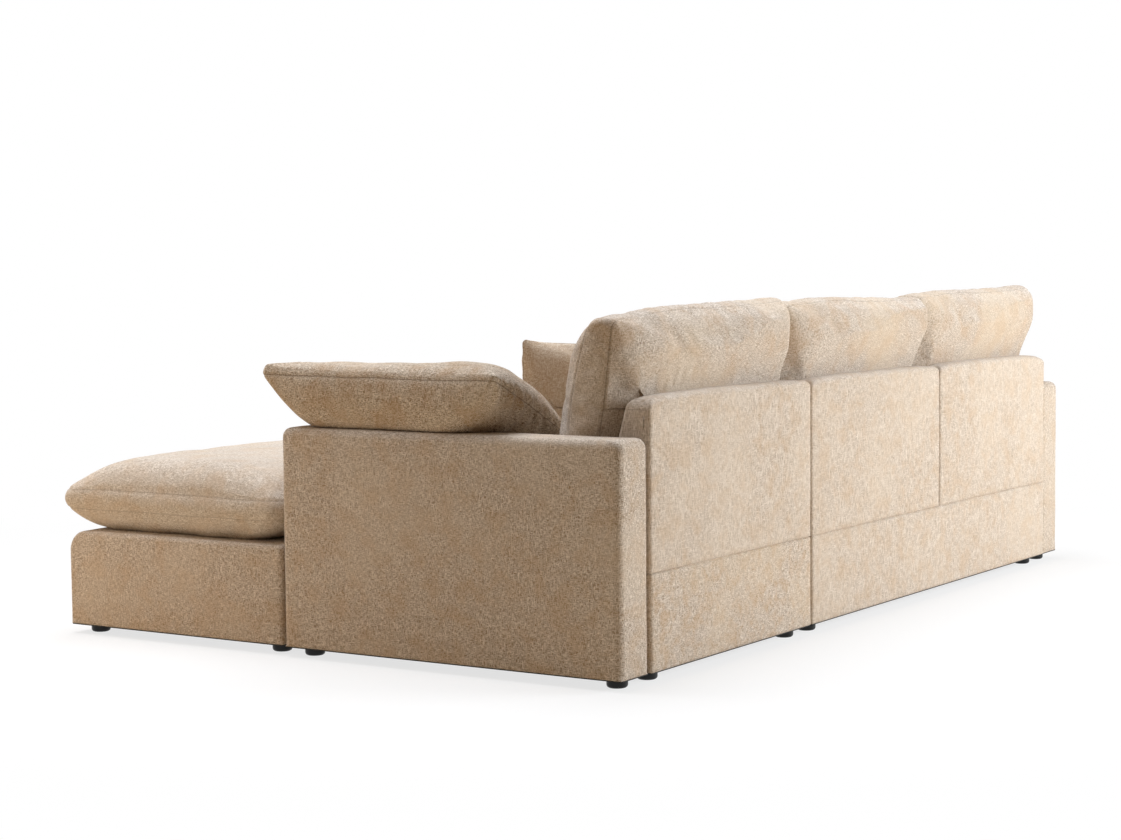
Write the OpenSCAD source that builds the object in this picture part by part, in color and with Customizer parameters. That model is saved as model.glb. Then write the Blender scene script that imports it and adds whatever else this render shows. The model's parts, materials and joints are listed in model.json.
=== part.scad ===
// Corner sofa in modules: a single seat, a double seat, two slab arms and a loose ottoman,
// each an upholstered cover over a timber frame, with loose cushions on top.
// X runs along the sofa, the front faces -Y, and the floor is Z = 0.
// Depths (d) are counted forwards from the rear face of the backs.

/* [Seats] */
// Width of one seat
seat_w = 820; // [740:5:900]
// Depth of the bases, from the rear face of the backs to the front
seat_d = 984; // [920:2:1060]
// Height of the deck under the seat cushions
deck_h = 274; // [262:1:310]
// Height of the seam where the backs stand on the bases
back_seam_h = 256; // [236:1:268]
// Radius of the bases' front top edge
front_r = 55; // [30:1:70]
// Radius of the bases' upright corners
base_corner_r = 8; // [3:1:11]
// Gap between neighbouring modules
module_gap = 4; // [2:1:8]

/* [Backs] */
// Height of the backs
back_h = 664; // [600:2:720]
// Depth of a back at its foot
back_foot_d = 163; // [140:1:200]
// Depth of a back at its top
back_top_d = 64; // [50:1:90]
// Radius of a back's front top edge
back_front_r = 15; // [8:1:22]
// Radius of a back's rear top edge
back_rear_r = 9; // [4:1:14]
// Radius of a back's top corners
back_corner_r = 18; // [8:1:30]

/* [Arms] */
// Width of an arm
arm_w = 125; // [100:1:160]
// Height of an arm
arm_h = 570; // [530:1:620]
// How far an arm's rear face lies ahead of the backs' rear face
arm_setback = 4; // [0:1:20]
// Radius of an arm's front and rear top edges
arm_end_r = 24; // [10:1:40]
// Radius of an arm's long top edges
arm_edge_r = 18; // [8:1:30]
// Radius of an arm's upright corners
arm_corner_r = 12; // [4:1:20]

/* [Ottoman] */
// Depth of the ottoman's base
ottoman_d = 722; // [640:2:800]
// How far the ottoman stands in from the arm's outer face, and from the seat joint
ottoman_inset = 8; // [0:1:20]
// Gap between the seat fronts and the ottoman
ottoman_gap = 11; // [8:1:30]
// How far the ottoman's cushion reaches past its front
ottoman_overhang = 37; // [10:1:60]

/* [Seat cushions] */
// Width of the boxing strip between a seat cushion's two seams
seat_strip = 52; // [30:1:70]
// Rise of a seat cushion's crown above its upper seam
seat_crown = 92; // [75:1:110]
// Drop of a seat cushion's underside below its lower seam
seat_belly = 57; // [40:1:70]
// How far the weight of a back cushion presses a seat cushion down
seat_press = 22; // [10:1:35]
// How far a seat cushion reaches past the front of its base
seat_overhang = 4; // [0:1:8]
// Radius of the seat cushions' corners
seat_corner_r = 45; // [30:1:80]
// Thickness of the foam core in a seat cushion
foam_t = 110; // [80:1:120]
// How far a foam core lies in from the edges of its cushion
foam_inset = 62; // [56:1:90]

/* [Back cushions] */
// Height of a back cushion
back_cushion_h = 420; // [370:2:450]
// Width of the boxing strip round a back cushion
back_strip = 92; // [60:1:110]
// Rise of a back cushion's front crown
back_crown = 62; // [40:1:80]
// Rise of a back cushion's rear crown
back_belly = 62; // [40:1:80]
// Depth of a back cushion's middle at its foot
back_lean_d = 198; // [190:1:225]
// How much a back cushion leans back for each millimetre of height
back_lean = 0.12; // [0:0.01:0.2]
// How far the top of a back cushion rolls back
back_roll = 33; // [0:1:50]
// Radius of the back cushions' corners
back_round_r = 62; // [30:1:90]

/* [Arm pillows] */
// Length of an arm pillow
arm_pillow_l = 716; // [640:2:780]
// Width of an arm pillow, measured along its bend
arm_pillow_w = 372; // [330:2:410]
// Height of an arm pillow's outer seam above the arm
arm_pillow_rise = 132; // [110:1:150]
// Rise of an arm pillow's upper panel
arm_pillow_crown = 86; // [60:1:105]
// Fullness of an arm pillow's lower panel, before it is pressed flat
arm_pillow_belly = 150; // [120:1:180]
// Slope of an arm pillow at its outer seam, in degrees
arm_pillow_tilt = 15; // [8:1:22]
// Slope that an arm pillow gains across its width, in degrees
arm_pillow_droop = 30; // [15:1:40]
// How far the front of an arm pillow's lower panel slants back
arm_pillow_rake = 0.5; // [0:0.05:0.8]

/* [Throw pillow] */
// Width of the throw pillow
throw_w = 450; // [380:5:500]
// Height of the throw pillow
throw_h = 330; // [280:5:360]
// Fullness of the throw pillow, each side of its seam
throw_crown = 58; // [40:1:70]
// How far the throw pillow leans back, in degrees
throw_lean = 12; // [5:1:25]
// How far the throw pillow turns towards the middle of the sofa, in degrees
throw_turn = 22; // [10:1:30]

/* [Feet] */
// Height of a foot, which is the height of the bases above the floor
foot_h = 24; // [18:1:40]
// Radius of a foot at its top
foot_r = 25; // [20:1:30]
// Radius of the flat on which a foot stands
foot_pad_r = 17; // [12:1:19]
// Distance of the feet from a module's sides
foot_inset_x = 62; // [50:1:80]
// Distance of the feet from a module's rear and front
foot_inset_d = 50; // [46:1:70]
// Radius of the threaded stud on a foot
stud_r = 4; // [3:0.5:5]
// Length of that stud
stud_l = 30; // [20:1:40]

/* [Covers and frames] */
// Thickness of a cover, fabric and wadding together
cover_t = 12; // [8:1:16]
// Thickness of the plywood boards
board_t = 18; // [12:1:24]
// Thickness of the timber rails
rail_t = 25; // [20:1:32]
// Thickness of the webbing
web_t = 1.5; // [1:0.5:3]
// Width of a webbing strap
web_w = 60; // [40:1:80]
// Thickness of the dust covers under the bases and arms
dust_t = 2; // [1:0.5:3]
// Radius of the bolts that join the modules
bolt_r = 4; // [3:0.5:5]
// Height of those bolts
bolt_h = 140; // [110:1:180]
// Distance of those bolts from the rear and from the front
bolt_inset = 245; // [200:1:300]
// Width of the steel bars that hold the backs
bar_w = 40; // [30:1:60]
// Thickness of those bars
bar_t = 4; // [3:0.5:6]
// Reach of those bars above and below the back seam
bar_reach = 95; // [60:1:120]
// Distance of those bars from the sides of a back
bar_inset = 150; // [135:1:200]

/* [Clearances] */
// Clearance of a frame in its cover, and of a bar or a foam core in its slot
fit_gap = 0.5; // [0.3:0.1:0.8]
// Clearance under a soft piece that rests on another
rest_gap = 0.3; // [0.2:0.1:0.6]
// Clearance round a bolt or a stud
bolt_gap = 0.4; // [0.2:0.1:0.8]
// Distance of a cushion from the joint beside it
cushion_gap = 3; // [1:0.5:6]

/* [Hidden] */
$fn = 72;
fabric = [0.80, 0.69, 0.55];
pillow_fabric = [0.77, 0.66, 0.52];
timber = [0.80, 0.66, 0.46];
steel = [0.62, 0.63, 0.65];
foam = [0.93, 0.88, 0.70];
black = [0.08, 0.08, 0.08];
dark_cloth = [0.35, 0.34, 0.33];

seats = 3;
inner_w = seats * seat_w;
half_w = inner_w / 2 + arm_w;
ottoman_rear_d = seat_d + ottoman_gap;
total_d = ottoman_rear_d + ottoman_d + ottoman_overhang;
rear_y = total_d / 2;
skirt_h = foot_h + dust_t; // underside of the covers and frames
shell = cover_t + fit_gap; // from a cover's outside to its frame

// The backs stand in a step at the rear of the bases
back_step_gap = 2;
step_d = back_foot_d + back_step_gap;
back_slope = (back_foot_d - back_top_d) / (back_h - back_seam_h);
back_angle = atan(back_slope);

// Heights in the stack of cushions
seat_rest_h = deck_h + rest_gap;
seat_seam_h = seat_rest_h + seat_belly + seat_strip / 2;
seat_top_h = seat_seam_h + seat_strip / 2 + seat_crown;
bearing_h = seat_top_h - seat_press;
back_front_d = back_lean_d + back_strip / 2 + back_crown;
seat_rear_d = step_d + cushion_gap;
seat_front_d = seat_d + seat_overhang;
arm_pillow_rear_d = back_front_d + 30;
arm_pillow_front_d = arm_pillow_rear_d + arm_pillow_l;

// Shape of the sewn skins
corner_pts = 3; // steps round a corner
side_pts = 5; // steps along a side
rings = 5; // steps from a seam to the crown
strip_bulge = 6; // how far a boxing strip stands out between its seams
side_draw = 9; // how far a side is drawn in between its corners
throw_draw = 18; // the same for the throw pillow, whose corners stand out more
crown_flat = 30; // half the width of the flat on top of a seat cushion
belly_reach = 180; // distance over which a seat cushion's underside falls
back_reach = 165; // distance over which a back cushion's crowns rise
knife_strip = 4; // width of the sewn edge of a knife-edge pillow
knife_flat = 14; // half the width of the flat in the middle of its panels
plump = 4; // power of a crown that is steep at its seam and flat in the middle
full = 3; // power of a rounder crown
soft = 2.2; // power of the softest crown

// Foam core: the share of its thickness below the upper seam
foam_share = 0.72;

// Where a back cushion presses its seat: reach ahead of it, and slope of the rise in front
press_reach = 24;
press_slope = 0.35;

// Back cushion: how much is pressed flat at the foot, and how much its top tapers
back_sink = 6;
back_taper = 0.35;

// Arm pillow: seam to the arm's outer face, radius of its corners, how far inside the arm's
// inner face it starts to hang, the slope at which it does, and how its lower panel thins
// towards the inner seam and the front
pillow_reveal = 2;
pillow_corner_r = 34;
pillow_hang = 10;
pillow_hang_slope = 0.5;
pillow_thin_in = 0.55;
pillow_thin_front = 0.25;

// Throw pillow: its middle from the corner seat's right-hand side and from the back cushion,
// and the radius of its corners
throw_in = 455;
throw_out = 144;
throw_corner_r = 20;

hem = 2; // how far a dust cover stays in from the edges above it

// A module's box: highest X, width, rear depth, length and depth of the step for the backs
corner_box = [inner_w / 2 - module_gap / 2, seat_w - module_gap, 0, seat_d, step_d];
double_box = [inner_w / 2 - seat_w - module_gap / 2, 2 * seat_w - module_gap, 0, seat_d, step_d];
ottoman_box = [half_w - ottoman_inset, arm_w + seat_w - 2 * ottoman_inset, ottoman_rear_d, ottoman_d, 0];

// Right-hand side of seat i, counted from the ottoman's end, and its middle
function seat_x(i) = inner_w / 2 - i * seat_w;
function seat_mid(i) = seat_x(i) - seat_w / 2;

// Depth of the backs' front face at height z
function back_face_d(z) = back_foot_d - back_slope * (z - back_seam_h);

// Box given by its limits in X, in depth and in Z
module slab(x0, x1, d0, d1, z0, z1) {
    translate([x0, rear_y - d1, z0]) cube([x1 - x0, d1 - d0, z1 - z0]);
}

// Outline in depth and Z, run along X for len up to x_hi
module along_x(x_hi, len) {
    translate([x_hi, rear_y, 0]) rotate([90, 0, -90]) linear_extrude(len) children();
}

// Outline in X and Z, run forwards for len from depth d
module along_d(d, len) {
    translate([0, rear_y - d, 0]) rotate([90, 0, 0]) linear_extrude(len) children();
}

// What a round edge takes off a square corner at (x, z), which points towards sx and sz
module round_off(x, z, r, sx, sz) {
    difference() {
        translate([sx > 0 ? x - r : x - 1, sz > 0 ? z - r : z - 1]) square(r + 1);
        translate([x - sx * r, z - sz * r]) circle(r);
    }
}

// Rectangle with round corners, from (x0, y0) to (x1, y1)
module rounded(x0, x1, y0, y1, r) {
    translate([x0 + r, y0]) square([x1 - x0 - 2 * r, y1 - y0]);
    translate([x0, y0 + r]) square([x1 - x0, y1 - y0 - 2 * r]);
    for (x = [x0 + r, x1 - r], y = [y0 + r, y1 - r]) translate([x, y]) circle(r);
}

// Outside of a module's base, taken in by t all round and by drop more at its deck
module base_solid(box, t, drop, z_lo) {
    len = box[3];
    step = box[4];
    deck = deck_h - t - drop;
    intersection() {
        along_x(box[0] - t, box[1] - 2 * t) difference() {
            translate([box[2] + t, z_lo]) square([len - 2 * t, deck - z_lo]);
            if (step > 0) translate([box[2] + t - 1, back_seam_h - t]) square([step + 1, deck]);
            round_off(box[2] + len - t, deck, front_r - t, 1, 1);
        }
        if (t < base_corner_r) {
            linear_extrude(deck_h + 1)
                rounded(box[0] - box[1] + t, box[0] - t, rear_y - box[2] - len + t, rear_y - box[2] - t,
                    base_corner_r - t);
        } else {
            slab(box[0] - box[1], box[0], box[2], box[2] + len, 0, deck_h + 1);
        }
    }
}

// The four places of a base's feet
function foot_spots(box) = [
    for (x = [box[0] - foot_inset_x, box[0] - box[1] + foot_inset_x])
        for (d = [box[2] + foot_inset_d, box[2] + box[3] - foot_inset_d]) [x, d]
];
function arm_foot_spots(side) = [
    for (d = [arm_setback + foot_inset_d, seat_d - foot_inset_d]) [side * (half_w - arm_w / 2), d]
];

// Holes or studs at a list of places
module uprights(spots, r, z0, z1) {
    for (p = spots) translate([p[0], rear_y - p[1], z0]) cylinder(r = r, h = z1 - z0);
}

// Round feet, each a turned puck on a threaded stud
module feet(spots) {
    edge = foot_r - foot_pad_r;
    color(black) for (p = spots) translate([p[0], rear_y - p[1], 0]) {
        rotate_extrude() {
            square([foot_pad_r, foot_h]);
            translate([0, edge]) square([foot_r, foot_h - edge]);
            translate([foot_pad_r, edge]) circle(edge);
        }
        translate([0, 0, foot_h]) cylinder(r = stud_r, h = stud_l);
    }
}

// Joining bolts run along X at these depths
bolt_depths = [bolt_inset, seat_d - bolt_inset];
module bolt_holes(x0, x1) {
    for (d = bolt_depths) translate([x0, rear_y - d, bolt_h]) rotate([0, 90, 0])
        cylinder(r = bolt_r + bolt_gap, h = x1 - x0);
}

// Those holes in the inner half of an arm
module arm_bolt_holes(side) {
    bolt_holes(min(0, side * (half_w - arm_w / 2)), max(0, side * (half_w - arm_w / 2)));
}

// Bolts with a head and a nut, each on its washer, clamping from x0 to x1
module bolts(x0, x1) {
    washer_t = 1.5;
    head_t = 5;
    thread_out = 3;
    color(steel) for (d = bolt_depths) translate([0, rear_y - d, bolt_h]) rotate([0, 90, 0]) {
        translate([0, 0, x0 - washer_t - head_t])
            cylinder(r = bolt_r, h = x1 - x0 + 2 * (washer_t + head_t) + thread_out);
        translate([0, 0, x0 - washer_t]) cylinder(r = 3 * bolt_r, h = washer_t);
        translate([0, 0, x1]) cylinder(r = 3 * bolt_r, h = washer_t);
        translate([0, 0, x0 - washer_t - head_t]) cylinder(r = 2 * bolt_r, h = head_t, $fn = 6);
        translate([0, 0, x1 + washer_t]) cylinder(r = 2 * bolt_r, h = head_t, $fn = 6);
    }
}

// The steel bars of seat i's back, or their slots when grow is more than 0
module bars(i, grow) {
    bar_d = shell + rail_t + rest_gap;
    for (x = [seat_x(i) - bar_inset, seat_x(i) - seat_w + bar_inset])
        slab(x - bar_w / 2 - grow, x + bar_w / 2 + grow, bar_d - grow, bar_d + bar_t + grow,
            back_seam_h - bar_reach - grow, back_seam_h + bar_reach + grow);
}

// Fabric cover of a base over the seats in the list held
module base_cover(box, held) {
    color(fabric) difference() {
        base_solid(box, 0, 0, skirt_h);
        base_solid(box, cover_t, 0, skirt_h - 1);
        for (i = held) bars(i, fit_gap);
        if (box[4] > 0) bolt_holes(-half_w, half_w);
    }
}

// Timber box under a cover: boards, rails, a block over each foot and one stretcher a seat
module base_frame(box, held, stretchers) {
    x1 = box[0] - shell;
    x0 = box[0] - box[1] + shell;
    d0 = box[2] + shell;
    d1 = box[2] + box[3] - shell;
    web_d0 = box[4] > 0 ? box[4] + shell : d0;
    top = deck_h;
    block_x = foot_inset_x - shell;
    block_d = foot_inset_d - shell;
    color(timber) difference() {
        intersection() {
            base_solid(box, shell, 2 * web_t, skirt_h);
            union() {
                slab(x0, x0 + board_t, d0, d1, skirt_h, top);
                slab(x1 - board_t, x1, d0, d1, skirt_h, top);
                slab(x0, x1, d0, d0 + rail_t, skirt_h, top);
                slab(x0, x1, d1 - rail_t, d1, skirt_h, top);
                slab(x0, x1, web_d0, web_d0 + rail_t, skirt_h, top);
                slab(x0, x1, d1 - front_r - web_w, d1, deck_h - shell - 2 * web_t - rail_t, top);
                for (k = [1:stretchers]) {
                    x = x0 + (x1 - x0) * k / (stretchers + 1);
                    slab(x - rail_t / 2, x + rail_t / 2, d0, d1, bolt_h + 4 * bolt_r, top);
                }
                for (p = foot_spots(box))
                    slab(p[0] - block_x, p[0] + block_x, p[1] - block_d, p[1] + block_d,
                        skirt_h, skirt_h + 2 * rail_t);
            }
        }
        uprights(foot_spots(box), stud_r + bolt_gap, 0, skirt_h + stud_l);
        for (i = held) bars(i, fit_gap);
        if (box[4] > 0) bolt_holes(-half_w, half_w);
    }
}

// Straps from rear to front, with straps from side to side over them
module webbing(box, across) {
    x1 = box[0] - shell;
    x0 = box[0] - box[1] + shell;
    d0 = box[2] + max(box[4], 0) + shell;
    d1 = box[2] + box[3] - front_r;
    z = deck_h - shell - 2 * web_t;
    deep = 5;
    color(dark_cloth) {
        for (k = [1:across]) {
            x = x0 + (x1 - x0) * k / (across + 1);
            slab(x - web_w / 2, x + web_w / 2, d0, d1, z, z + web_t);
        }
        for (k = [1:deep]) {
            d = d0 + (d1 - d0) * k / (deep + 1);
            slab(x0, x1, d - web_w / 2, d + web_w / 2, z + web_t, z + 2 * web_t);
        }
    }
}

// Thin cloth stapled over the open underside of a base
module dust_cover(box) {
    color(dark_cloth) difference() {
        translate([0, 0, foot_h]) linear_extrude(dust_t)
            rounded(box[0] - box[1] + hem, box[0] - hem, rear_y - box[2] - box[3] + hem,
                rear_y - box[2] - hem, max(base_corner_r - hem, 1));
        uprights(foot_spots(box), stud_r + bolt_gap, 0, skirt_h + 1);
    }
}

// Outside of seat i's back, taken in by t all round
module back_solid(i, t) {
    x1 = seat_x(i) - module_gap / 2 - t;
    w = seat_w - module_gap - 2 * t;
    z0 = back_seam_h + t;
    z1 = back_h - t;
    r1 = max(back_front_r - t, 1);
    r2 = max(back_rear_r - t, 1);
    r3 = back_corner_r - t;
    inset = t / cos(back_angle);
    centre_d = back_face_d(z1 - r1) - inset - r1 / cos(back_angle);
    intersection() {
        along_x(x1, w) {
            polygon([
                [t, z0],
                [back_face_d(z0) - inset, z0],
                [centre_d + r1 * cos(back_angle), z1 - r1 + r1 * sin(back_angle)],
                [centre_d, z1 - r1],
                [centre_d, z1],
                [t + r2, z1],
                [t + r2, z1 - r2],
                [t, z1 - r2]
            ]);
            translate([centre_d, z1 - r1]) circle(r1);
            translate([t + r2, z1 - r2]) circle(r2);
        }
        if (r3 > 0) {
            along_d(0, back_foot_d) difference() {
                translate([x1 - w, 0]) square([w, z1]);
                round_off(x1, z1, r3, 1, 1);
                round_off(x1 - w, z1, r3, -1, 1);
            }
        }
    }
}

module back_cover(i) {
    color(fabric) difference() {
        back_solid(i, 0);
        back_solid(i, cover_t);
        bars(i, fit_gap);
    }
}

// Plywood back panel, rails and three wedge-shaped gussets
module back_frame(i) {
    x1 = seat_x(i) - module_gap / 2 - shell;
    x0 = seat_x(i) - seat_w + module_gap / 2 + shell;
    z0 = back_seam_h + shell;
    z1 = back_h - shell;
    panel_t = board_t * 2 / 3;
    color(timber) difference() {
        intersection() {
            back_solid(i, shell);
            union() {
                slab(x0, x1, shell, shell + panel_t, z0, z1);
                slab(x0, x1, shell, back_foot_d, z0, z0 + rail_t);
                slab(x0, x1, shell, back_foot_d, z1 - rail_t, z1);
                for (x = [x0, (x0 + x1 - board_t) / 2, x1 - board_t])
                    slab(x, x + board_t, shell, back_foot_d, z0, z1);
            }
        }
        bars(i, fit_gap);
    }
}

// Outside of an arm on side +1 or -1, taken in by t all round
module arm_solid(side, t, z_lo) {
    x1 = half_w - t;
    w = arm_w - 2 * t;
    z1 = arm_h - t;
    d0 = arm_setback + t;
    d1 = seat_d - t;
    end_r = arm_end_r - t;
    edge_r = max(arm_edge_r - t, 1);
    plan_r = arm_corner_r - t;
    mirror([side > 0 ? 0 : 1, 0, 0]) intersection() {
        along_x(x1, w) difference() {
            translate([d0, z_lo]) square([d1 - d0, z1 - z_lo]);
            if (end_r > 0) {
                round_off(d0, z1, end_r, -1, 1);
                round_off(d1, z1, end_r, 1, 1);
            }
        }
        along_d(0, seat_d + 1) difference() {
            translate([x1 - w, 0]) square([w, z1]);
            round_off(x1, z1, edge_r, 1, 1);
            round_off(x1 - w, z1, edge_r, -1, 1);
        }
        if (plan_r > 0) linear_extrude(arm_h + 1) rounded(x1 - w, x1, rear_y - d1, rear_y - d0, plan_r);
    }
}

// An arm stands module_gap / 2 clear of the base beside it
module arm_cover(side) {
    color(fabric) difference() {
        arm_solid(side, 0, skirt_h);
        arm_solid(side, cover_t, skirt_h - 1);
        arm_bolt_holes(side);
    }
}

// Plywood box: two side panels, ends, a top, a foot board and two posts
module arm_frame(side) {
    x0 = half_w - arm_w + shell;
    x1 = half_w - shell;
    d0 = arm_setback + shell;
    d1 = seat_d - shell;
    z1 = arm_h - shell;
    color(timber) difference() {
        intersection() {
            arm_solid(side, shell, skirt_h);
            mirror([side > 0 ? 0 : 1, 0, 0]) {
                slab(x0, x0 + board_t, d0, d1, skirt_h, z1);
                slab(x1 - board_t, x1, d0, d1, skirt_h, z1);
                slab(x0, x1, d0, d1, skirt_h, skirt_h + rail_t);
                slab(x0, x1, d0, d1, z1 - rail_t, z1);
                for (k = [0:3]) {
                    d = d0 + (d1 - d0 - rail_t) * k / 3;
                    slab(x0, x1, d, d + rail_t, skirt_h, z1);
                }
            }
        }
        uprights(arm_foot_spots(side), stud_r + bolt_gap, 0, skirt_h + stud_l);
        arm_bolt_holes(side);
    }
}

module arm_dust_cover(side) {
    color(dark_cloth) difference() {
        mirror([side > 0 ? 0 : 1, 0, 0]) translate([0, 0, foot_h]) linear_extrude(dust_t)
            rounded(half_w - arm_w + hem, half_w - hem, rear_y - seat_d + hem,
                rear_y - arm_setback - hem, max(arm_corner_r - hem, 1));
        uprights(arm_foot_spots(side), stud_r + bolt_gap, 0, skirt_h + 1);
    }
}

// Corner k of a rectangle 2a by 2b, and a point on its arc of radius r
function corner_xy(k, a, b) = [k == 0 || k == 3 ? a : -a, k < 2 ? b : -b];
function arc_xy(k, turn, a, b, r) = corner_xy(k, a - r, b - r) + r * [cos(turn), sin(turn)];

// Loop of points round that rectangle, with its sides drawn in between the corners
function loop_xy(a, b, r, draw) = [
    for (k = [0:3], j = [0:corner_pts + side_pts - 1])
        let (
            t = (j - corner_pts) / side_pts,
            out = 90 * (k + 1),
            start = arc_xy(k, out, a, b, r),
            end = arc_xy((k + 1) % 4, out, a, b, r)
        )
        j <= corner_pts
            ? arc_xy(k, 90 * (k + j / corner_pts), a, b, r)
            : start + (end - start) * t - draw * 4 * t * (1 - t) * [cos(out), sin(out)]
];

// Rise of a crown at a distance in from its seam
function crown(inset, reach, rise, power) = rise * (1 - pow(1 - min(inset / reach, 1), power));

// From the middle of the underside to the middle of the top: [distance in, height, reach]
function skin_levels(strip, bulge, over, reach, power, under, under_reach, under_power) = concat(
    [for (i = [rings:-1:0]) let (e = under_reach * pow(i / rings, 1.5))
        [e, -strip / 2 - crown(e, under_reach, under, under_power), under_reach]],
    [[-bulge, 0, reach]],
    [for (i = [0:rings]) let (e = reach * pow(i / rings, 1.5))
        [e, strip / 2 + crown(e, reach, over, power), reach]]
);

// Closed skin over those levels, each point put in its place by the function place
module sewn_skin(a, b, r, draw, levels, place) {
    n = 4 * (corner_pts + side_pts);
    m = len(levels);
    foot = [0, 0, levels[0][1]];
    head = [0, 0, levels[m - 1][1]];
    points = concat(
        [for (s = levels)
            for (p = loop_xy(a - s[0], b - s[0], min(r + 0.9 * s[0], min(a, b) - s[0] - 1),
                draw * (1 - max(s[0], 0) / s[2])))
                place([p[0], p[1], s[1]])],
        [place(foot), place(head)]
    );
    sides = [
        for (i = [0:m - 2], j = [0:n - 1], half = [0, 1])
            let (p = i * n + j, q = i * n + (j + 1) % n)
            half == 0 ? [p, p + n, q + n] : [p, q + n, q]
    ];
    caps = [
        for (j = [0:n - 1], half = [0, 1])
            let (q = (j + 1) % n)
            half == 0 ? [m * n, j, q] : [m * n + 1, (m - 1) * n + q, (m - 1) * n + j]
    ];
    polyhedron(points = points, faces = concat(sides, caps), convexity = 6);
}

back_levels = skin_levels(back_strip, strip_bulge, back_crown, back_reach, full,
    back_belly, back_reach, full);
arm_levels = skin_levels(knife_strip, 1, arm_pillow_crown, arm_pillow_w / 2 - knife_flat, soft,
    arm_pillow_belly, arm_pillow_w / 2 - knife_flat, plump);
throw_levels = skin_levels(knife_strip, 1, throw_crown, throw_h / 2 - knife_flat, soft,
    throw_crown, throw_h / 2 - knife_flat, soft);

// Boxed cushion between two X values and two depths, on the deck, with a pocket for its foam core
module seat_skin(x0, x1, d0, d1, pressed) {
    xm = (x0 + x1) / 2;
    ym = rear_y - (d0 + d1) / 2;
    a = (x1 - x0) / 2 - strip_bulge;
    b = (d1 - d0) / 2 - strip_bulge;
    levels = skin_levels(seat_strip, strip_bulge, seat_crown, min(a, b) - crown_flat, plump,
        seat_belly, belly_reach, soft);
    press_d = back_front_d + press_reach;
    place = function(p)
        let (
            z = seat_seam_h + p[2],
            d = rear_y - ym - p[1],
            lid = pressed ? bearing_h + press_slope * max(0, d - press_d) : seat_top_h
        )
        [xm + p[0], ym + p[1], p[2] > 0 ? min(z, lid) : z];
    color(fabric) difference() {
        sewn_skin(a, b, seat_corner_r, side_draw, levels, place);
        foam_core(x0, x1, d0, d1, fit_gap);
    }
}

module foam_core(x0, x1, d0, d1, grow) {
    low = seat_seam_h + seat_strip / 2 - foam_t * foam_share;
    slab(x0 + foam_inset - grow, x1 - foam_inset + grow, d0 + foam_inset - grow, d1 - foam_inset + grow,
        low - grow, low + foam_t + grow);
}

module seat_cushion(i) {
    seat_skin(seat_x(i) - seat_w + cushion_gap, seat_x(i) - cushion_gap, seat_rear_d, seat_front_d, true);
}

module seat_foam(i) {
    color(foam) foam_core(seat_x(i) - seat_w + cushion_gap, seat_x(i) - cushion_gap,
        seat_rear_d, seat_front_d, 0);
}

// Boxed cushion that stands on its seat cushion and leans on its back
module back_cushion(i) {
    half_h = back_cushion_h / 2;
    place = function(p)
        let (
            z = max(bearing_h + half_h - back_sink + p[1], bearing_h + rest_gap),
            f = (z - bearing_h) / back_cushion_h,
            taper = 1 - back_taper * pow(f, 4),
            edge = back_strip / 2,
            off = abs(p[2]) <= edge ? p[2] * taper : sign(p[2]) * (abs(p[2]) - edge + edge * taper),
            d = back_lean_d - back_lean * (z - bearing_h) - back_roll * pow(f, 3) + off,
            wall = z < back_h ? back_face_d(z) + rest_gap : 0
        )
        [seat_mid(i) + p[0], rear_y - max(d, wall), z];
    color(pillow_fabric) sewn_skin(seat_w / 2 - cushion_gap - strip_bulge, half_h - strip_bulge,
        back_round_r, side_draw, back_levels, place);
}

// Knife-edge pillow, bent down over the arm's inner edge and pressed flat where it lies on it.
// Its lower panel is fullest along the outer seam and thins out inwards and towards the front.
module arm_pillow(side) {
    half_l = arm_pillow_l / 2;
    bend = arm_pillow_droop / arm_pillow_w; // degrees gained for each millimetre
    radian = 180 / PI;
    edge_x = half_w - arm_w - pillow_hang; // from here inwards the pillow hangs off the arm
    place = function(p)
        let (
            s = arm_pillow_w / 2 - p[1],
            front = max(0, p[0] / half_l),
            thin = 1 - pillow_thin_in * s / arm_pillow_w - pillow_thin_front * pow(front, 3),
            w = p[2] > 0 ? p[2] : p[2] * thin,
            slope = arm_pillow_tilt + bend * s,
            run = (sin(slope) - sin(arm_pillow_tilt)) * radian / bend,
            fall = (cos(arm_pillow_tilt) - cos(slope)) * radian / bend,
            x = half_w - pillow_reveal - run - w * sin(slope),
            z = arm_h + arm_pillow_rise - fall + w * cos(slope),
            d = arm_pillow_rear_d + half_l + p[0] + arm_pillow_rake * min(w, 0) * pow(front, 2),
            floor_z = x > edge_x ? arm_h + rest_gap
                : max(arm_h + rest_gap - pillow_hang_slope * (edge_x - x), seat_top_h + rest_gap)
        )
        [x, rear_y - d, max(z, floor_z)];
    color(pillow_fabric) mirror([side > 0 ? 0 : 1, 0, 0])
        sewn_skin(half_l, arm_pillow_w / 2, pillow_corner_r, side_draw, arm_levels, place);
}

// Long knife-edge pillow on the corner seat, leaning back and turned a little
module throw_pillow() {
    x = inner_w / 2 - throw_in;
    d = back_front_d + throw_out;
    z = seat_top_h + (throw_h / 2 - throw_draw) * cos(throw_lean);
    place = function(p)
        let (
            back = p[1] * sin(throw_lean) - p[2] * cos(throw_lean),
            up = p[1] * cos(throw_lean) + p[2] * sin(throw_lean)
        )
        [
            x + p[0] * cos(throw_turn) + back * sin(throw_turn),
            rear_y - d - p[0] * sin(throw_turn) + back * cos(throw_turn),
            max(z + up, seat_top_h + rest_gap)
        ];
    color(pillow_fabric) sewn_skin(throw_w / 2, throw_h / 2, throw_corner_r, throw_draw, throw_levels, place);
}

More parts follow.
